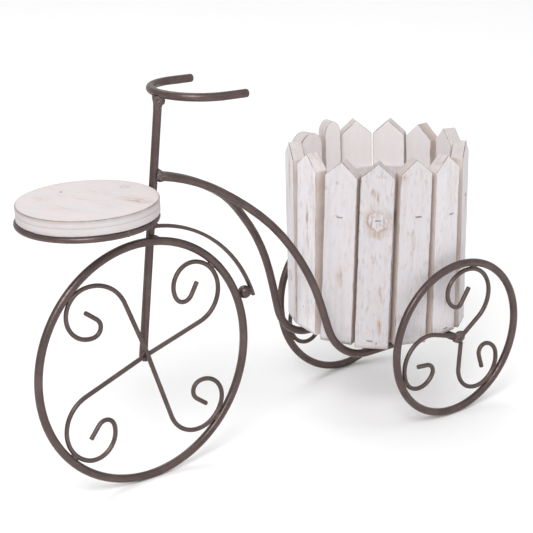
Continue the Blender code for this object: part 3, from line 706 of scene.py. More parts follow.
def post_front_x(height):
    """The front of the post's round wall at a height."""
    return post_x(height) - ROD_RADIUS / math.cos(POST_LEAN)


def handlebar_path():
    """The horseshoe in its plane, a half circle with two legs, raked and set on the post."""
    arc = BAR_BEND * (ways(np.radians(np.linspace(270, 90, 61))) + (1, 0))
    bar = np.vstack((arc[:1] + (BAR_LEG, 0), arc, arc[-1:] + (BAR_LEG, 0)))
    raked = bar[:, :1] * (math.cos(BAR_RAKE), 0, -math.sin(BAR_RAKE)) + bar[:, 1:] * ACROSS
    return raked + (post_x(BAR_HEIGHT), 0, BAR_HEIGHT)


def tube_path(side):
    """A frame tube: its side view as bends, stretched to meet the rail, then spread sideways."""
    head_x = post_x(TUBE_HEAD_HEIGHT) + (ROD_RADIUS + SEAT_GAP) / math.cos(POST_LEAN)
    head_x += ROD_RADIUS * math.tan(TUBE_HEAD_SLOPE - POST_LEAN)
    path, heading = bends((head_x, TUBE_HEAD_HEIGHT), -TUBE_HEAD_SLOPE, TUBE_BENDS)
    fall = path[-1, 1] - RAIL_Z - RAIL_BEND * (1 - math.cos(heading))
    path, _ = bends(
        (head_x, TUBE_HEAD_HEIGHT), -TUBE_HEAD_SLOPE,
        TUBE_BENDS + ((fall / math.sin(-heading), 0), (RAIL_BEND, -heading)),
    )
    path[:, 0] = head_x + (path[:, 0] - head_x) * (LEVEL_X - head_x) / (path[-1, 0] - head_x)
    path = np.vstack((path, (REAR_AXLE_X + RAIL_TAIL, path[-1, 1])))
    flat = np.stack((path[:, 0], 0 * path[:, 0], path[:, 1]), axis=1)
    shares = np.linspace(0, 1, TUBE_ROWS)
    flat = places_at(flat, shares * lengths_along(flat)[-1])
    offsets = np.linspace(-SPREAD_EASING, SPREAD_EASING, 9)
    spread = np.interp(np.clip(shares[:, None] + offsets, 0, 1), SPREAD_LENGTHS, SPREAD_WIDTHS).mean(axis=1)
    head_half = (FRAME_ROD + SEAT_GAP) / 2
    flat[:, 1] = side * (head_half + (RAIL_SPREAD / 2 - head_half) * spread)
    return flat


def fender_radius(angle):
    """How far from the front hub the strip's middle runs at an angle."""
    return STRIP_REACH - FENDER_PULL_IN * (angle - FENDER_BALL_ANGLE) / (FENDER_START - FENDER_BALL_ANGLE)


def on_picket(number, points):
    """Points given as depth, across and height on a picket, set in place.

    A point tilts about the picket's middle, leans outwards about its foot, turns to its bearing
    and moves out to its stand-off.
    """
    *angles, stand_off = PICKETS[number - 1][:5]
    bearing, turn, tilt, lean = np.radians(angles)
    middle = Matrix.Translation((0, 0, PICKET_LENGTH / 2))
    tilted = middle @ Matrix.Rotation(-tilt, 4, "X") @ middle.inverted()
    whole = np.array(Matrix.Rotation(bearing + turn, 4, "Z") @ Matrix.Rotation(lean, 4, "Y") @ tilted)
    place = BASKET + BASKET_RADIUS * stand_off * np.array((*ways(bearing), 0))
    return points @ whole[:3, :3].T + whole[:3, 3] + place


# Materials

def join(tree, node, inputs):
    """Set a node's inputs to values, or link them to other nodes' outputs."""
    for socket, value in inputs.items():
        if isinstance(value, bpy.types.NodeSocket):
            tree.links.new(value, node.inputs[socket])
        else:
            node.inputs[socket].default_value = value


def add_node(tree, kind, inputs=None, output=0, **settings):
    """Add a shader node, give it its settings and inputs, and hand back one of its outputs."""
    node = tree.nodes.new("ShaderNode" + kind)
    for label, value in settings.items():
        setattr(node, label, value)
    join(tree, node, inputs or {})
    return node.outputs[output]


def laid_over(tree, colour, tone, *ramps, share=None):
    """A colour turned into a tone by a share times the product of ramps.

    A ramp is a pattern, the pattern's values where it starts and ends, and what it gives there.
    """
    for pattern, start, end, first, last in ramps:
        ramp = add_node(tree, "MapRange", {
            "Value": pattern, "From Min": start, "From Max": end, "To Min": first, "To Max": last})
        share = add_node(tree, "Math", {0: share, 1: ramp}, operation="MULTIPLY") if share else ramp
    return add_node(tree, "Mix", {0: share, 6: colour, 7: (*tone, 1)}, 2, data_type="RGBA")


def new_material(name):
    """An empty node material, its tree and its shader."""
    material = bpy.data.materials.new(name)
    material.use_nodes = True
    return material, material.node_tree, material.node_tree.nodes["Principled BSDF"]


def satin_bronze_lacquer_on_steel():
    """Mild steel rod, drawn, bent and sprayed with a dark bronze satin lacquer.

    The spray dries a little lumpy, so highlights break up along the rod, and it lies thin and
    brown in places. The lumps are drawn about 2 mm across, coarser than real, so they show.
    """
    material, tree, shader = new_material("satin_bronze_lacquer_on_steel")
    settings = bpy.context.scene.planter_steel
    place = add_node(tree, "TexCoord", output="Object")
    cloud, fine, specks = (
        add_node(tree, "TexNoise", {"Vector": place, "Scale": scale, "Detail": detail})
        for scale, detail in ((55.0, 5.0), (480.0, 3.0), (900.0, 2.0))
    )
    colour = laid_over(tree, (*settings.lacquer, 1), settings.rubbed, (cloud, 0.42, 0.74, 0.0, 0.65))
    colour = laid_over(tree, colour, linear("#2f2825"), (specks, 0.60, 0.80, 0.0, 0.5))
    gloss = add_node(tree, "MapRange", {
        "Value": fine, "From Min": 0.3, "From Max": 0.7, "To Min": 0.29, "To Max": 0.44})
    bump = add_node(tree, "Bump", {"Height": fine, "Strength": 0.45, "Distance": 0.0005})
    join(tree, shader, {"Base Color": colour, "Roughness": gloss, "Normal": bump, "Metallic": 0.75})
    return material


def lacquered_weld_bead():
    """Beads of weld under the same lacquer: rougher, pitted every 2 mm and darker in the hollows."""
    material, tree, shader = new_material("lacquered_weld_bead")
    place = add_node(tree, "TexCoord", output="Object")
    pits = add_node(tree, "TexNoise", {"Vector": place, "Scale": 420.0, "Detail": 4.0})
    cells = add_node(tree, "TexVoronoi", {"Vector": place, "Scale": 520.0})
    rubbed = bpy.context.scene.planter_steel.rubbed
    colour = laid_over(tree, (*linear("#453b39"), 1), rubbed, (pits, 0.35, 0.65, 0.0, 1.0))
    height = add_node(tree, "Math", {0: pits, 1: cells}, operation="ADD")
    bump = add_node(tree, "Bump", {"Height": height, "Strength": 0.5, "Distance": 0.0003})
    join(tree, shader, {"Base Color": colour, "Normal": bump, "Roughness": 0.5, "Metallic": 0.3})
    return material


def zinc_plated_screw():
    """Turned screws with a bright zinc plating: a pale cool gleam and lathe marks 0.7 mm apart."""
    material, tree, shader = new_material("zinc_plated_screw")
    place = add_node(tree, "TexCoord", output="Object")
    marks = add_node(tree, "TexNoise", {"Vector": place, "Scale": 1400.0, "Detail": 2.0})
    colour = laid_over(tree, (*linear("#a9abae"), 1), linear("#d3d4d6"), share=marks)
    gloss = add_node(tree, "MapRange", {"Value": marks, "To Min": 0.25, "To Max": 0.45})
    join(tree, shader, {"Base Color": colour, "Roughness": gloss, "Metallic": 1.0})
    return material


def washed_over_staple_wire():
    """Thin staple wire brushed over with the wash: pale, with patches of rust about 3 mm long."""
    material, tree, shader = new_material("washed_over_staple_wire")
    place = add_node(tree, "TexCoord", output="Object")
    rust = add_node(tree, "TexNoise", {"Vector": place, "Scale": 300.0, "Detail": 3.0})
    colour = laid_over(tree, (*linear("#a09592"), 1), linear("#86685a"), (rust, 0.4, 0.62, 0.0, 1.0))
    join(tree, shader, {"Base Color": colour, "Roughness": 0.6, "Metallic": 0.2})
    return material


def matt_pale_card():
    """Matt coated card: a pale floor whose tone drifts a little towards white over half a metre."""
    material, tree, shader = new_material("matt_pale_card")
    place = add_node(tree, "TexCoord", output="Object")
    drift = add_node(tree, "TexNoise", {"Vector": place, "Scale": 2.0, "Detail": 2.0})
    floor = bpy.context.scene.planter_stage.floor
    join(tree, shader, {
        "Base Color": laid_over(tree, (*floor, 1), linear("#ffffff"), share=drift), "Roughness": 0.9})
    return material


def stock(maker):
    """The material that bears its maker's name, made on its first use."""
    return bpy.data.materials.get(maker.__name__) or maker()


def from_middle(tree, grain, across, along, half_width, half_length, noise, amount):
    """Distance from a mark's middle in shares of its half sizes, made ragged by a noise's colour."""
    near = add_node(tree, "VectorMath", {0: grain, 1: (across, 0.0, along)}, operation="SUBTRACT")
    near = add_node(tree, "VectorMath", {
        0: near, 1: (1 / half_width, 0.0, 1 / half_length)}, operation="MULTIPLY")
    ragged = add_node(tree, "VectorMath", {
        0: noise.node.outputs["Color"], 1: (0.5, 0.5, 0.5)}, operation="SUBTRACT")
    near = add_node(tree, "VectorMath", {
        0: ragged, 1: (amount, 0.0, amount), 2: near}, operation="MULTIPLY_ADD")
    return add_node(tree, "VectorMath", {0: near}, "Value", operation="LENGTH")


def knotted(tree, colour, height, far, rubs, dashes):
    """A knot laid over a board: a broken brown rim, a halo that fades outside it, flecks inside.

    Far is the distance from its middle in shares of its size. The rim also dents the height.
    """
    patchy = add_node(tree, "MapRange", {
        "Value": rubs, "From Min": 0.36, "From Max": 0.58, "To Min": 0.15})
    beyond = add_node(tree, "Math", {0: far, 1: 1.0}, operation="SUBTRACT")
    halo = add_node(tree, "MapRange", {
        "Value": beyond, "From Min": 0.0, "From Max": 0.75, "To Min": 0.6, "To Max": 0.0})
    outside = add_node(tree, "Math", {0: far, 1: 1.0}, operation="GREATER_THAN")
    halo = add_node(tree, "Math", {0: halo, 1: outside}, operation="MULTIPLY")
    off_rim = add_node(tree, "Math", {0: beyond}, operation="ABSOLUTE")
    rim = add_node(tree, "MapRange", {
        "Value": off_rim, "From Min": 0.02, "From Max": 0.20, "To Min": 1.0, "To Max": 0.0})
    halo = add_node(tree, "Math", {0: halo, 1: rim}, operation="MAXIMUM")
    halo = add_node(tree, "Math", {0: halo, 1: patchy}, operation="MULTIPLY")
    colour = laid_over(tree, colour, linear("#a98d7c"), share=halo)
    colour = laid_over(
        tree, colour, linear("#7e6a60"), (far, 0.75, 1.0, 0.34, 0.0), (dashes, 0.47, 0.60, 0.0, 1.0))
    sunk = add_node(tree, "Math", {0: rim, 1: patchy}, operation="MULTIPLY")
    return colour, add_node(tree, "Math", {0: sunk, 1: -1.5, 2: height}, operation="MULTIPLY_ADD")


def limewashed_board(
    name, settings, offset=0.0, knots=(), stains=(), specks=(), own_grain=True, wash_share=1.0,
    streak_share=0.4, line_share=0.38, weathered=USUAL_WEATHER, warmth=0.4, flank_share=0.85,
    least_wear=0.4, wall_shade_tone=None,
):
    """Sawn pine, limewashed with a brush and rubbed back.

    The wash is nearly white where it lies full, greyer in streaks 7 mm wide along the grain,
    and gone in small tan marks and along the edges. The shares say how light the wash is drawn, how
    much of the streaks, of the grain lines and of the flanks' tone shows, how weathered and how
    warm the board is, and how far its least worn edges are rubbed. A board with its own grain
    reads its grain, edges and flanks from its points, and another reads its place. On a picket,
    painted shade darkens the flanks deep in the gaps and painted light makes the inner face paler;
    the tone given for the disc's wall is painted shade.
    """
    material, tree, shader = new_material(name)
    if own_grain:
        grain, edge, flank = (
            add_node(tree, "Attribute", output=output, attribute_name=label)
            for label, output in (("grain", "Vector"), ("edge", "Fac"), ("flank", "Fac"))
        )
    else:
        grain = add_node(tree, "TexCoord", output="Object")
    lines, streaks, cloud, rubs, dashes = (
        add_node(tree, "TexNoise", {
            "Vector": add_node(tree, "Mapping", {"Vector": grain, "Scale": (1.0, 1.0, lengthwise)}),
            "Scale": scale, "Detail": detail, "Roughness": roughness})
        for lengthwise, scale, detail, roughness in BOARD_NOISES
    )
    layers = [
        (settings.thin_wash, (streaks, 0.50, 0.70, 0.0, streak_share)),
        (linear("#a39da1"), (lines, 0.56, 0.80, 0.0, line_share)),
        (linear("#8f898c"), (dashes, 0.50, 0.72, 0.0, weathered * 1.7), (cloud, 0.42, 0.60, 0.08, 1.0)),
        (linear("#dccbc6"), (cloud, 0.70 - 0.5 * warmth, 0.75, 0.0, warmth)),
        (settings.bare, (rubs, 0.665, 0.74, 0.0, 0.7)),
    ]
    for across, along, half_width, half_length, *strength in stains:
        far = from_middle(tree, grain, across + offset, along, half_width, half_length, rubs, STAIN_RAGGED)
        layers.append((
            settings.bare, (far, 0.20, 1.25, *(strength or (1.0,)), 0.0), (lines, 0.36, 0.6, 0.25, 1.0),
            (dashes, 0.42, 0.58, 0.35, 1.25),
        ))
    for across, along, half in specks:
        far = from_middle(tree, grain, across + offset, along, half, half, rubs, SPECK_RAGGED)
        layers.append((linear("#5b4a44"), (far, 0.5, 1.1, 0.9, 0.0)))
    colour = tuple(min(part * wash_share, 1) for part in settings.wash) + (1,)
    for tone, *ramps in layers:
        colour = laid_over(tree, colour, tone, *ramps)
    height = lines
    for across, along, half_width, half_length in knots:
        far = from_middle(tree, grain, across + offset, along, half_width, half_length, cloud, KNOT_RAGGED)
        colour, height = knotted(tree, colour, height, far, rubs, dashes)
    if own_grain:
        depth = add_node(tree, "SeparateXYZ", {0: grain}, "Y")
        for tone, share, *ramps in (
            # The flanks' tone; the darker grey given for the disc's wall is painted shade
            (wall_shade_tone or settings.flank, flank, (cloud, 0.25, 0.6, flank_share * 0.6, flank_share)),
            # Painted shade: the flanks drawn darker the deeper they run into the gaps between the pickets,
            # from 3 to 10 mm in from the outer face
            (linear("#6b564a"), None, (depth, -0.003, -0.010, 0.0, 0.25), (flank, 0.6, 1.0, 0.0, 1.0)),
            # Painted light: the inner face, which gets little light inside the basket, drawn paler, nearly
            # white
            (linear("#f3edec"), None, (depth, -0.0122, -0.0129, 0.0, 0.68)),
            (linear("#74635b"), edge, (rubs, 0.36, 0.54, least_wear, 1.0)),
        ):
            colour = laid_over(tree, colour, tone, *ramps, share=share)
    bump = add_node(tree, "Bump", {"Height": height, "Strength": 0.45, "Distance": 0.0006})
    bump = add_node(tree, "Bump", {"Height": cloud, "Strength": 0.3, "Distance": 0.0012, "Normal": bump})
    join(tree, shader, {"Base Color": colour, "Normal": bump, "Roughness": 0.78})
    return material


# Operators

class PLANTER_OT_front_wheel(bpy.types.Operator):
    """Front rim and the two rods that cross at the hub and curl into scrolls"""

    bl_idname = "planter.front_wheel"
    bl_label = "Front wheel"

    def execute(self, context):
        settings = context.scene.planter_steel
        uneven, full, up = settings.unevenness, settings.weld_fullness, (0, 0, 1)
        rim = ring_grid(FRONT_RIM, FRAME_ROD, up, FRONT_HUB, 1, uneven, 300)
        frame_piece("front_rim_bent", [rim], "front_wheel_rim", closed_rows=True)
        reach = FRONT_RIM - ROD_RADIUS - SCROLL_ROD / 2 - SEAT_GAP
        rear_offset = ROD_RADIUS - SCROLL_ROD / 2
        rods = (
            ("front_scroll_rod_a", rear_offset - SCROLL_ROD - SEAT_GAP, "lower_rear", "upper_front"),
            ("front_scroll_rod_b", rear_offset, "lower_front", "upper_rear"),
        )
        beads = []
        for number, (node, offset, *arms) in enumerate(rods):
            halves = []
            for count, arm in enumerate(arms):
                flat = scroll(FRONT_ARMS[arm], FRONT_RIM, reach)
                path = in_wheel(flat, FRONT_HUB, up)
                path[0] += offset * ACROSS
                halves.append(path)
                beads.append(rim_bead(
                    flat, FRONT_RIM, FRONT_HUB, up, ACROSS, FRONT_RIM_BEAD * full, 3 * number + count))
            whole = np.concatenate((halves[0][::-1], halves[1]))
            grid = rod_grid(whole, SCROLL_ROD, ACROSS, number + 2, uneven, sides=SCROLL_SIDES)
            frame_piece(node + "_bent", [grid], node)
        beads += lumps_at(FRONT_HUB, CROSSING_BEADS, full)
        frame_piece("front_wheel_welds", beads, finish=lacquered_weld_bead)
        return {"FINISHED"}


class PLANTER_OT_rear_wheels(bpy.types.Operator):
    """Both rear rims, their three scrolls each and the lump of weld on the axle's end"""

    bl_idname = "planter.rear_wheels"
    bl_label = "Rear wheels"

    def execute(self, context):
        settings = context.scene.planter_steel
        uneven, full = settings.unevenness, settings.weld_fullness
        reach = REAR_RIM - ROD_RADIUS - SCROLL_ROD / 2 - SEAT_GAP
        for side_name, side in (("left", -1), ("right", 1)):
            lean = -side * REAR_CAMBER
            up = np.array((0, -math.sin(lean), math.cos(lean)))
            across = np.array((0, math.cos(lean), math.sin(lean)))
            hub = np.array((REAR_AXLE_X, side * REAR_TRACK / 2, REAR_HUB_Z))
            rim = ring_grid(REAR_RIM, REAR_RIM_ROD, up, hub, 5 + side, uneven, 240)
            node = "rear_wheel_rim_" + side_name
            frame_piece(node + "_bent", [rim], node, closed_rows=True)
            beads = []
            for number, arm in enumerate(REAR_ARMS, 1):
                flat = scroll(arm, REAR_RIM, reach, HUB_WELD_RADIUS + SEAT_GAP, HUB_WELD_SET_BACK)
                path = in_wheel(flat, hub, up)
                grid = rod_grid(path, SCROLL_ROD, across, 7 * number + side, uneven, sides=SCROLL_SIDES)
                node = f"rear_scroll_{side_name}_{number}"
                frame_piece(node + "_bent", [grid], node)
                beads.append(rim_bead(flat, REAR_RIM, hub, up, across, REAR_RIM_BEAD * full, number + side))
            frame_piece("rear_wheel_welds_" + side_name, beads, finish=lacquered_weld_bead)
            slug = lumps_at(hub + (HUB_WELD_SET_BACK, 0, 0), HUB_LUMPS, further=side)
            node = "rear_hub_weld_" + side_name
            frame_piece(node + "_lumps", slug, node, finish=lacquered_weld_bead)
        return {"FINISHED"}


class PLANTER_OT_frame(bpy.types.Operator):
    """Post, handlebar, the two frame tubes, the rear axle and the cross rod, with their welds"""

    bl_idname = "planter.frame"
    bl_label = "Frame"

    def execute(self, context):
        settings = context.scene.planter_steel
        uneven, full = settings.unevenness, settings.weld_fullness
        heights = np.linspace(POST_FOOT_Z, POST_HEAD_Z, 12)
        post = np.stack((post_x(heights), 0 * heights, heights), axis=1)
        straight = np.linspace(-1, 1, 12)[:, None] * ACROSS
        axle = straight * (REAR_TRACK / 2 - AXLE_SHORT_OF_WHEEL) + (REAR_AXLE_X, 0, REAR_HUB_Z)
        cross_rod = straight * (RAIL_SPREAD / 2 + ROD_RADIUS) + (CROSS_ROD_X, 0, REAR_HUB_Z)
        upright = (0, 0, 1)
        rods = (
            ("front_post", post, ACROSS, 2), ("handlebar", handlebar_path(), upright, 4),
            ("frame_tube_left", tube_path(-1), ACROSS, 4), ("frame_tube_right", tube_path(1), ACROSS, 4),
            ("rear_axle", axle, upright, 2), ("basket_cross_rod", cross_rod, upright, 2),
        )
        for number, (node, path, reference, easing) in enumerate(rods):
            grid = rod_grid(path, FRAME_ROD, reference, number + 12, uneven, easing, 24)
            frame_piece(node + "_bent", [grid], node)
        beads = [(np.add(place, (post_x(z), 0, z)), radii) for z, place, radii in POST_BEADS]
        for x in (CROSS_ROD_X, REAR_AXLE_X):
            for side in (1, -1):
                beads.append(((x, side * RAIL_SPREAD / 2, REAR_HUB_Z - RAIL_BEAD_DROP), RAIL_BEAD))
        grids = [
            lump(place, np.array(radii) * full, seed, FRAME_LUMPINESS)
            for seed, (place, radii) in enumerate(beads)
        ]
        head = np.array((post_x(TUBE_HEAD_HEIGHT), 0, TUBE_HEAD_HEIGHT))
        grids.append(fillet(*(head + end for end in HEAD_FILLET_ENDS), HEAD_FILLET, 2))
        grids.append(fillet(*((post_x(z), 0, z) for z in NECK_FILLET_ENDS), NECK_FILLET, 5))
        frame_piece("frame_welds", grids, finish=lacquered_weld_bead)
        return {"FINISHED"}


class PLANTER_OT_fender(bpy.types.Operator):
    """The strip behind the front wheel and the ball that holds it off the rim"""

    bl_idname = "planter.fender"
    bl_label = "Fender"

    def execute(self, context):
        angles = np.linspace(FENDER_START, FENDER_END, FENDER_POINTS)
        reach = fender_radius(angles)
        path = in_wheel(reach[:, None] * ways(angles), FENDER_CENTRE, (0, 0, 1))
        stadium = circle((FENDER_THICKNESS + FENDER_FULLNESS) / 2, 20)
        stadium[:, 0] += np.sign(np.round(stadium[:, 0], 9)) * (FENDER_WIDTH - FENDER_THICKNESS) / 2
        middle, _, widths = softened(path, FENDER_THICKNESS / 2, FENDER_END_MARGIN, FENDER_ROWS)
        frame_piece("fender_strip_rolled", [carried(middle, stadium, ACROSS, widths)], "fender_strip")
        out = in_wheel(ways(FENDER_BALL_ANGLE)[None], 0, (0, 0, 1))[0]
        centre = FENDER_CENTRE + out * BALL_REACH
        radius = FENDER_BALL / 2
        frame_piece("fender_ball_cast", [lump(centre, (radius,) * 3, 3, BALL_LUMPINESS)], "fender_ball")
        full = context.scene.planter_steel.weld_fullness
        axes = (np.cross(out, ACROSS), out, ACROSS)
        beads = [
            lump(centre + way * radius * out, np.array(radii) * full, seed, BALL_BEAD_LUMPINESS, axes)
            for way, radii, seed in BALL_BEADS
        ]
        frame_piece("fender_welds", beads, finish=lacquered_weld_bead)
        return {"FINISHED"}


def disc_board():
    """The disc's points and what its finish needs to know on them.

    Radius and height run from the middle of the base to that of the top, round both eased edges
    and past the seam, and are turned about the upright, the radius wandering a little.
    """
    flat = np.linspace(0, DISC_FLAT, 15)
    turn = np.radians(np.linspace(0, 90, 6))
    top, seam = DISC_THICKNESS, DISC_THICKNESS / 2
    rings = np.concatenate((
        np.stack((flat, 0 * flat), axis=1),
        DISC_LOW_EDGE * np.stack((np.sin(turn) - 1, 1 - np.cos(turn)), axis=1) + (DISC_RADIUS, 0),
        np.array(DISC_SEAM) + (DISC_RADIUS, seam),
        DISC_TOP_EDGE * np.stack((np.cos(turn) - 1, np.sin(turn) - 1), axis=1) + (DISC_RADIUS, top),
        np.stack((flat[::-1], 0 * flat + top), axis=1),
    ))
    radii, heights = rings[:, :1], rings[:, 1:]
    angles = angles_round(DISC_SIDES)
    wander = 1 - DISC_WANDER * (0.5 + 0.5 * waver(angles, 4, 2 * math.pi))
    one = np.ones_like(angles)
    x, y = radii * np.cos(angles) * wander, radii * np.sin(angles) * wander
    along = x * math.cos(DISC_GRAIN) + y * math.sin(DISC_GRAIN)
    across = y * math.cos(DISC_GRAIN) - x * math.sin(DISC_GRAIN)
    grain = np.stack((across + DISC_GRAIN_OFFSET, heights * one, along), axis=-1)
    near_top = np.exp(-((radii - DISC_RADIUS) ** 2 + (heights - top) ** 2) / DISC_TOP_EDGE ** 2)
    near_seam = (radii < DISC_RADIUS - SEAM_INSET) * (np.abs(heights - seam) < SEAM_HALF) * SEAM_WEAR
    # Painted shade: the wall takes a darker grey than the top
    wall = (radii > DISC_RADIUS - WALL_INSET) * WALL_PAINTED_SHADE
    return np.stack((x, y, heights * one), axis=-1), grain, (near_top + near_seam) * one, wall * one


class PLANTER_OT_seat(bpy.types.Operator):
    """The wooden disc and the ring under it; the strap and screws keep their solids"""

    bl_idname = "planter.seat"
    bl_label = "Round seat"

    def execute(self, context):
        scene = context.scene
        disc_x = post_front_x(DISC_BOTTOM) - SEAT_GAP - DISC_RADIUS
        ring_x = post_front_x(RING_Z) - SEAT_GAP - RING_ROD / 2 - RING_RADIUS
        centre = (ring_x, 0, RING_Z)
        ring = ring_grid(RING_RADIUS, RING_ROD, ACROSS, centre, 9, scene.planter_steel.unevenness, 200)
        frame_piece("disc_ring_bent", [ring], "disc_ring", closed_rows=True)
        frame_piece("seat_welds", lumps_at(centre, SEAT_BEADS), finish=lacquered_weld_bead)
        points, grain, edge, flank = disc_board()
        piece = surface(
            "wood_disc_limewashed", [points + (disc_x, 0, DISC_BOTTOM)], grain=grain, edge=edge, flank=flank)
        wood = limewashed_board(
            "limewashed_disc", scene.planter_wood, DISC_GRAIN_OFFSET, DISC_KNOTS, DISC_STAINS, DISC_SPECKS,
            wash_share=0.93, streak_share=0.25, line_share=0.22, weathered=0.12, warmth=0.7,
            # The wall's darker grey is painted shade
            flank_share=0.9, least_wear=0.7, wall_shade_tone=linear("#a8a3a5"),
        )
        dressed(piece, "frame", "limewashed_wood", wood, "wood_disc")
        refinish("disc_strap", stock(satin_bronze_lacquer_on_steel))
        for node in ("disc_screw_front", "disc_screw_rear"):
            refinish(node, stock(zinc_plated_screw))
        return {"FINISHED"}


def board_loop():
    """A board's outline in shares: place of each point, then the way it faces at a rounded corner.

    Point j is (share across times the half width less the corner, share through times the half
    depth less the corner) plus the corner radius times the way it faces. A quarter of it, a
    corner and the straight after it, is turned by a right angle three times.
    """
    corner = np.radians(np.linspace(0, 90, 6))
    quarters = []
    for quarter in range(4):
        run = np.linspace(1, -1, 7 if quarter % 2 else 13)[1:-1]
        share = np.concatenate((np.ones(len(corner)), run))
        place = np.stack((share, np.ones(len(share))), axis=1)
        facing = np.concatenate((ways(corner), 0 * run[:, None] + (0, 1)))
        right_angles = np.linalg.matrix_power(np.array(((0, 1), (-1, 0))), quarter)
        quarters.append(np.stack((place, facing), axis=1) @ right_angles)
    return np.concatenate(quarters).reshape(-1, 4)


def picket_rows(half, foot, tip, round_top):
    """Heights up a picket with the half width and the inset of the section at each.

    Below the shoulder the half width is constant; a gable narrows it in a straight line and a
    round head as a circle does. The two are blended over a few tenths of a millimetre.
    """
    shoulder = tip - PICKET_GABLE
    body = np.linspace(foot + BODY_MARGIN, shoulder - BODY_MARGIN, PICKET_BODY_ROWS)
    share = np.sin(np.radians(np.linspace(0, 90, PICKET_HEAD_ROWS)))
    head = shoulder - HEAD_START + (PICKET_GABLE + HEAD_START) * share
    heights = np.concatenate((foot + PICKET_FOOT[:, 0], body, head))
    inset = np.concatenate((PICKET_FOOT[:, 1], np.zeros(len(body) + len(head))))
    if round_top:
        rise = np.clip((heights - shoulder) / PICKET_GABLE, 0, 1)
        return heights, half * np.sqrt(np.clip(1 - rise ** 2, 0, 1)), inset
    left = half * (tip - heights) / PICKET_GABLE
    cut = np.minimum(np.sqrt(np.clip(left * (left + TIP_ROUNDING), 0, None)), 2 * half)
    both = np.exp(-half / SHOULDER_BLEND) + np.exp(-cut / SHOULDER_BLEND)
    widths = SHOULDER_BLEND * (SHOULDER_FULLNESS - np.log(both))
    widths = np.where(heights < shoulder - BLEND_START, half, np.clip(widths, 0, half))
    widths[-1] = 0
    return heights, widths, inset


def picket_board(number, settings):
    """A picket's points and what its finish needs to know on them.

    Row i is the board's outline at height i, its edges and width wandering a little.
    """
    width, tip_share, foot_share = PICKETS[number - 1][5:]
    half, deep = PICKET_WIDTH * width / 2, PICKET_THICKNESS / 2
    foot = PICKET_FOOT_LIFT + PICKET_LENGTH * foot_share
    tip = PICKET_FOOT_LIFT + PICKET_LENGTH * (1 + tip_share)
    heights, widths, inset = picket_rows(half, foot, tip, number in ROUND_PICKETS)
    loop = board_loop()
    on_side, on_face = np.abs(loop[:, 2]), np.abs(loop[:, 3])
    chips = CHIP_DEPTH * np.clip(waver(heights, number, CHIP_PERIOD), 0, 1) ** 2
    widths = np.clip(widths - chips * (widths > CHIPPED_FROM), 0, None)
    right, left = (
        NICK_DEPTH * np.clip(waver(heights, number + seed, NICK_PERIOD), 0, 1)[:, None] ** 2
        for seed in (100, 120)
    )
    nicks = np.where(loop[:, 0] > 0, right, left) * (widths > CHIPPED_FROM)[:, None]
    half_width = np.clip((widths - inset)[:, None] - nicks, 0, None)
    half_depth = np.clip(deep - inset, 0, None)[:, None]
    wander = EDGE_MEAN + EDGE_SWING * waver(heights, number + 20, EDGE_PERIOD)
    corner = settings.worn_edge * wander[:, None]
    corner = np.minimum(corner, np.minimum(half_width, half_depth))
    across = loop[:, 0] * (half_width - corner) + corner * loop[:, 2]
    through = loop[:, 1] * (half_depth - corner) + corner * loop[:, 3]
    bow = settings.bow * waver(heights, number + 40, BOW_PERIOD)[:, None]
    hollow = FACE_HOLLOW * waver(across, number + 60, HOLLOW_PERIOD) * (on_face > 0.99) * np.sign(loop[:, 3])
    depth = through - deep + bow + hollow
    upward = np.repeat(heights[:, None], len(loop), axis=1)
    points = np.stack((depth, across, upward), axis=-1)
    grain = np.stack((across + BOARD_APART * number, depth, upward), axis=-1)
    on_gable = (heights > tip - PICKET_GABLE + GABLE_FROM)[:, None]
    side, dark, light = DARK_GABLES.get(number, (1, GABLE_SAWN, GABLE_SAWN))
    flank = on_side * np.where(on_gable, np.where(across * side > 0, dark, light), 1.0)
    flank[:len(PICKET_FOOT)] = FOOT_SAWN
    edge = 2 * on_side * on_face * np.ones_like(across)
    edge[1:len(PICKET_FOOT)] = np.maximum(edge[1:len(PICKET_FOOT)], FOOT_RUBBED)
    rubbed = LEAST_RUBBED + MORE_RUBBED * np.clip(waver(heights, number + 80, RUB_PERIOD), 0, 1)[:, None]
    edge = edge * np.where(on_gable, 1.0, rubbed) + GABLE_RUBBED * (on_side > 0.9) * on_gable
    return on_picket(number, points.reshape(-1, 3)).reshape(points.shape), grain, edge, flank


class PLANTER_OT_basket(bpy.types.Operator):
    """The thirteen pickets and their staples; the base and the hoop keep their solids"""

    bl_idname = "planter.basket"
    bl_label = "Basket"

    def execute(self, context):
        wood = context.scene.planter_wood
        for number in range(1, len(PICKETS) + 1):
            points, grain, edge, flank = picket_board(number, wood)
            node = f"picket_{number:02d}"
            piece = surface(node + "_limewashed", [points], grain=grain, edge=edge, flank=flank)
            marks = (table.get(number, ()) for table in (PICKET_KNOTS, PICKET_STAINS, NAIL_HOLES))
            finish = limewashed_board(
                "limewashed_" + node, wood, BOARD_APART * number, *marks,
                wash_share=WASH_AND_LIGHT_SHARES.get(number, 1.0), weathered=WEATHERED.get(number, USUAL_WEATHER),
            )
            dressed(piece, "basket", "limewashed_wood", finish, node)
        outwards, crown_across = STAPLE_CROWN.T
        grids = []
        for seed, (number, across, height) in enumerate(STAPLES):
            slope = STAPLE_SLOPE * math.sin(seed * 1.7)
            points = np.stack((outwards, crown_across + across, height + crown_across * slope), axis=1)
            grids.append(rod_grid(
                on_picket(number, points), STAPLE_WIRE, (0, 0, 1), seed, STAPLE_UNEVENNESS, 1, 8))
        piece = surface("basket_staples", grids)
        dressed(piece, "basket", "zinc_steel", stock(washed_over_staple_wire))
        inside = limewashed_board("limewashed_base_and_hoop", wood, own_grain=False)
        refinish("basket_base", inside)
        refinish("basket_hoop", inside)
        return {"FINISHED"}


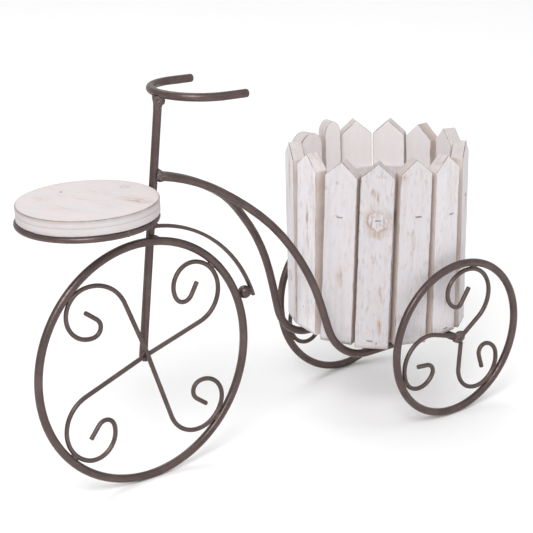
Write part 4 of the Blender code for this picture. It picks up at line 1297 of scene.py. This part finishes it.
def card_floor():
    """A flat sheet of card: point (i, j) is even steps i across and j along, at the floor's height."""
    steps = np.linspace(-FLOOR_HALF, FLOOR_HALF, FLOOR_STEPS + 1)
    across, along = np.meshgrid(steps, steps, indexing="ij")
    points = np.stack((across, along, 0 * across), axis=-1).reshape(-1, 3)
    row = len(steps)
    here = (np.arange(FLOOR_STEPS)[:, None] * row + np.arange(FLOOR_STEPS)).reshape(-1, 1)
    mesh = bpy.data.meshes.new("floor")
    mesh.from_pydata(points.tolist(), [], (here + np.array((0, row, row + 1, 1))).tolist())
    mesh.materials.append(stock(matt_pale_card))
    floor = in_scene("floor", mesh)


def soft_light(name, place, size, power):
    """A large round soft light, turned to the planter."""
    data = bpy.data.lights.new(name, "AREA")
    data.energy = power
    data.shape = "DISK"
    data.size = size
    light = in_scene(name, data)
    light.location = place
    light.rotation_euler = (LIGHT_TARGET - Vector(place)).to_track_quat("-Z", "Y").to_euler()


def photograph_camera(lens):
    """The camera of the photograph: its back by azimuth and elevation, then rolled about that."""
    low = math.cos(CAMERA_ELEVATION)
    back = Vector((
        math.sin(CAMERA_AZIMUTH) * low, -math.cos(CAMERA_AZIMUTH) * low, math.sin(CAMERA_ELEVATION),
    ))
    level = Vector((0, 0, 1)).cross(back).normalized()
    upright = back.cross(level)
    right = math.cos(CAMERA_ROLL) * level + math.sin(CAMERA_ROLL) * upright
    up = -math.sin(CAMERA_ROLL) * level + math.cos(CAMERA_ROLL) * upright
    data = bpy.data.cameras.new("camera")
    data.sensor_width = SENSOR_WIDTH
    data.lens = lens
    data.shift_x, data.shift_y = CAMERA_SHIFT
    camera = in_scene("camera", data)
    turned = Matrix((right, up, back)).transposed().to_4x4()
    camera.matrix_world = Matrix.Translation(CAMERA_PLACE) @ turned
    bpy.context.scene.camera = camera


class PLANTER_OT_stage(bpy.types.Operator):
    """Pale floor, white surround, soft lights and the camera at the photograph's angle"""

    bl_idname = "planter.stage"
    bl_label = "Stage"

    def execute(self, context):
        scene = context.scene
        settings = scene.planter_stage
        card_floor()
        world = bpy.data.worlds.new("white_surround")
        world.use_nodes = True
        join(world.node_tree, world.node_tree.nodes["Background"], {
            "Color": (1, 1, 1, 1), "Strength": settings.sky})
        scene.world = world
        for name, (place, size, share) in LIGHTS.items():
            soft_light(name, place, size, settings.key_power * share)
        photograph_camera(settings.lens)
        scene.view_settings.view_transform = "Standard"
        return {"FINISHED"}


class PLANTER_PT_panel(bpy.types.Panel):
    """Every building step of the planter, in order"""

    bl_idname = "PLANTER_PT_panel"
    bl_label = "Bicycle planter"
    bl_space_type = "VIEW_3D"
    bl_region_type = "UI"
    bl_category = "Planter"

    def draw(self, context):
        scene = context.scene
        for settings in (scene.planter_steel, scene.planter_wood, scene.planter_stage):
            box = self.layout.box()
            for label in settings.__annotations__:
                box.prop(settings, label)
        for operator in OPERATORS:
            self.layout.operator(operator.bl_idname)


OPERATORS = (
    PLANTER_OT_front_wheel, PLANTER_OT_rear_wheels, PLANTER_OT_frame, PLANTER_OT_fender,
    PLANTER_OT_seat, PLANTER_OT_basket, PLANTER_OT_stage,
)
CLASSES = (PlanterSteelSettings, PlanterWoodSettings, PlanterStageSettings, *OPERATORS, PLANTER_PT_panel)


def register():
    """Add the classes and hang the settings on the scene."""
    for item in CLASSES:
        bpy.utils.register_class(item)
    bpy.types.Scene.planter_steel = PointerProperty(type=PlanterSteelSettings)
    bpy.types.Scene.planter_wood = PointerProperty(type=PlanterWoodSettings)
    bpy.types.Scene.planter_stage = PointerProperty(type=PlanterStageSettings)


def unregister():
    """Take the settings and the classes away again."""
    del bpy.types.Scene.planter_stage
    del bpy.types.Scene.planter_wood
    del bpy.types.Scene.planter_steel
    for item in reversed(CLASSES):
        bpy.utils.unregister_class(item)


def main():
    """Build every piece in order."""
    register()
    bpy.ops.planter.front_wheel()
    bpy.ops.planter.rear_wheels()
    bpy.ops.planter.frame()
    bpy.ops.planter.fender()
    bpy.ops.planter.seat()
    bpy.ops.planter.basket()
    bpy.ops.planter.stage()


if __name__ == "__main__":
    main()
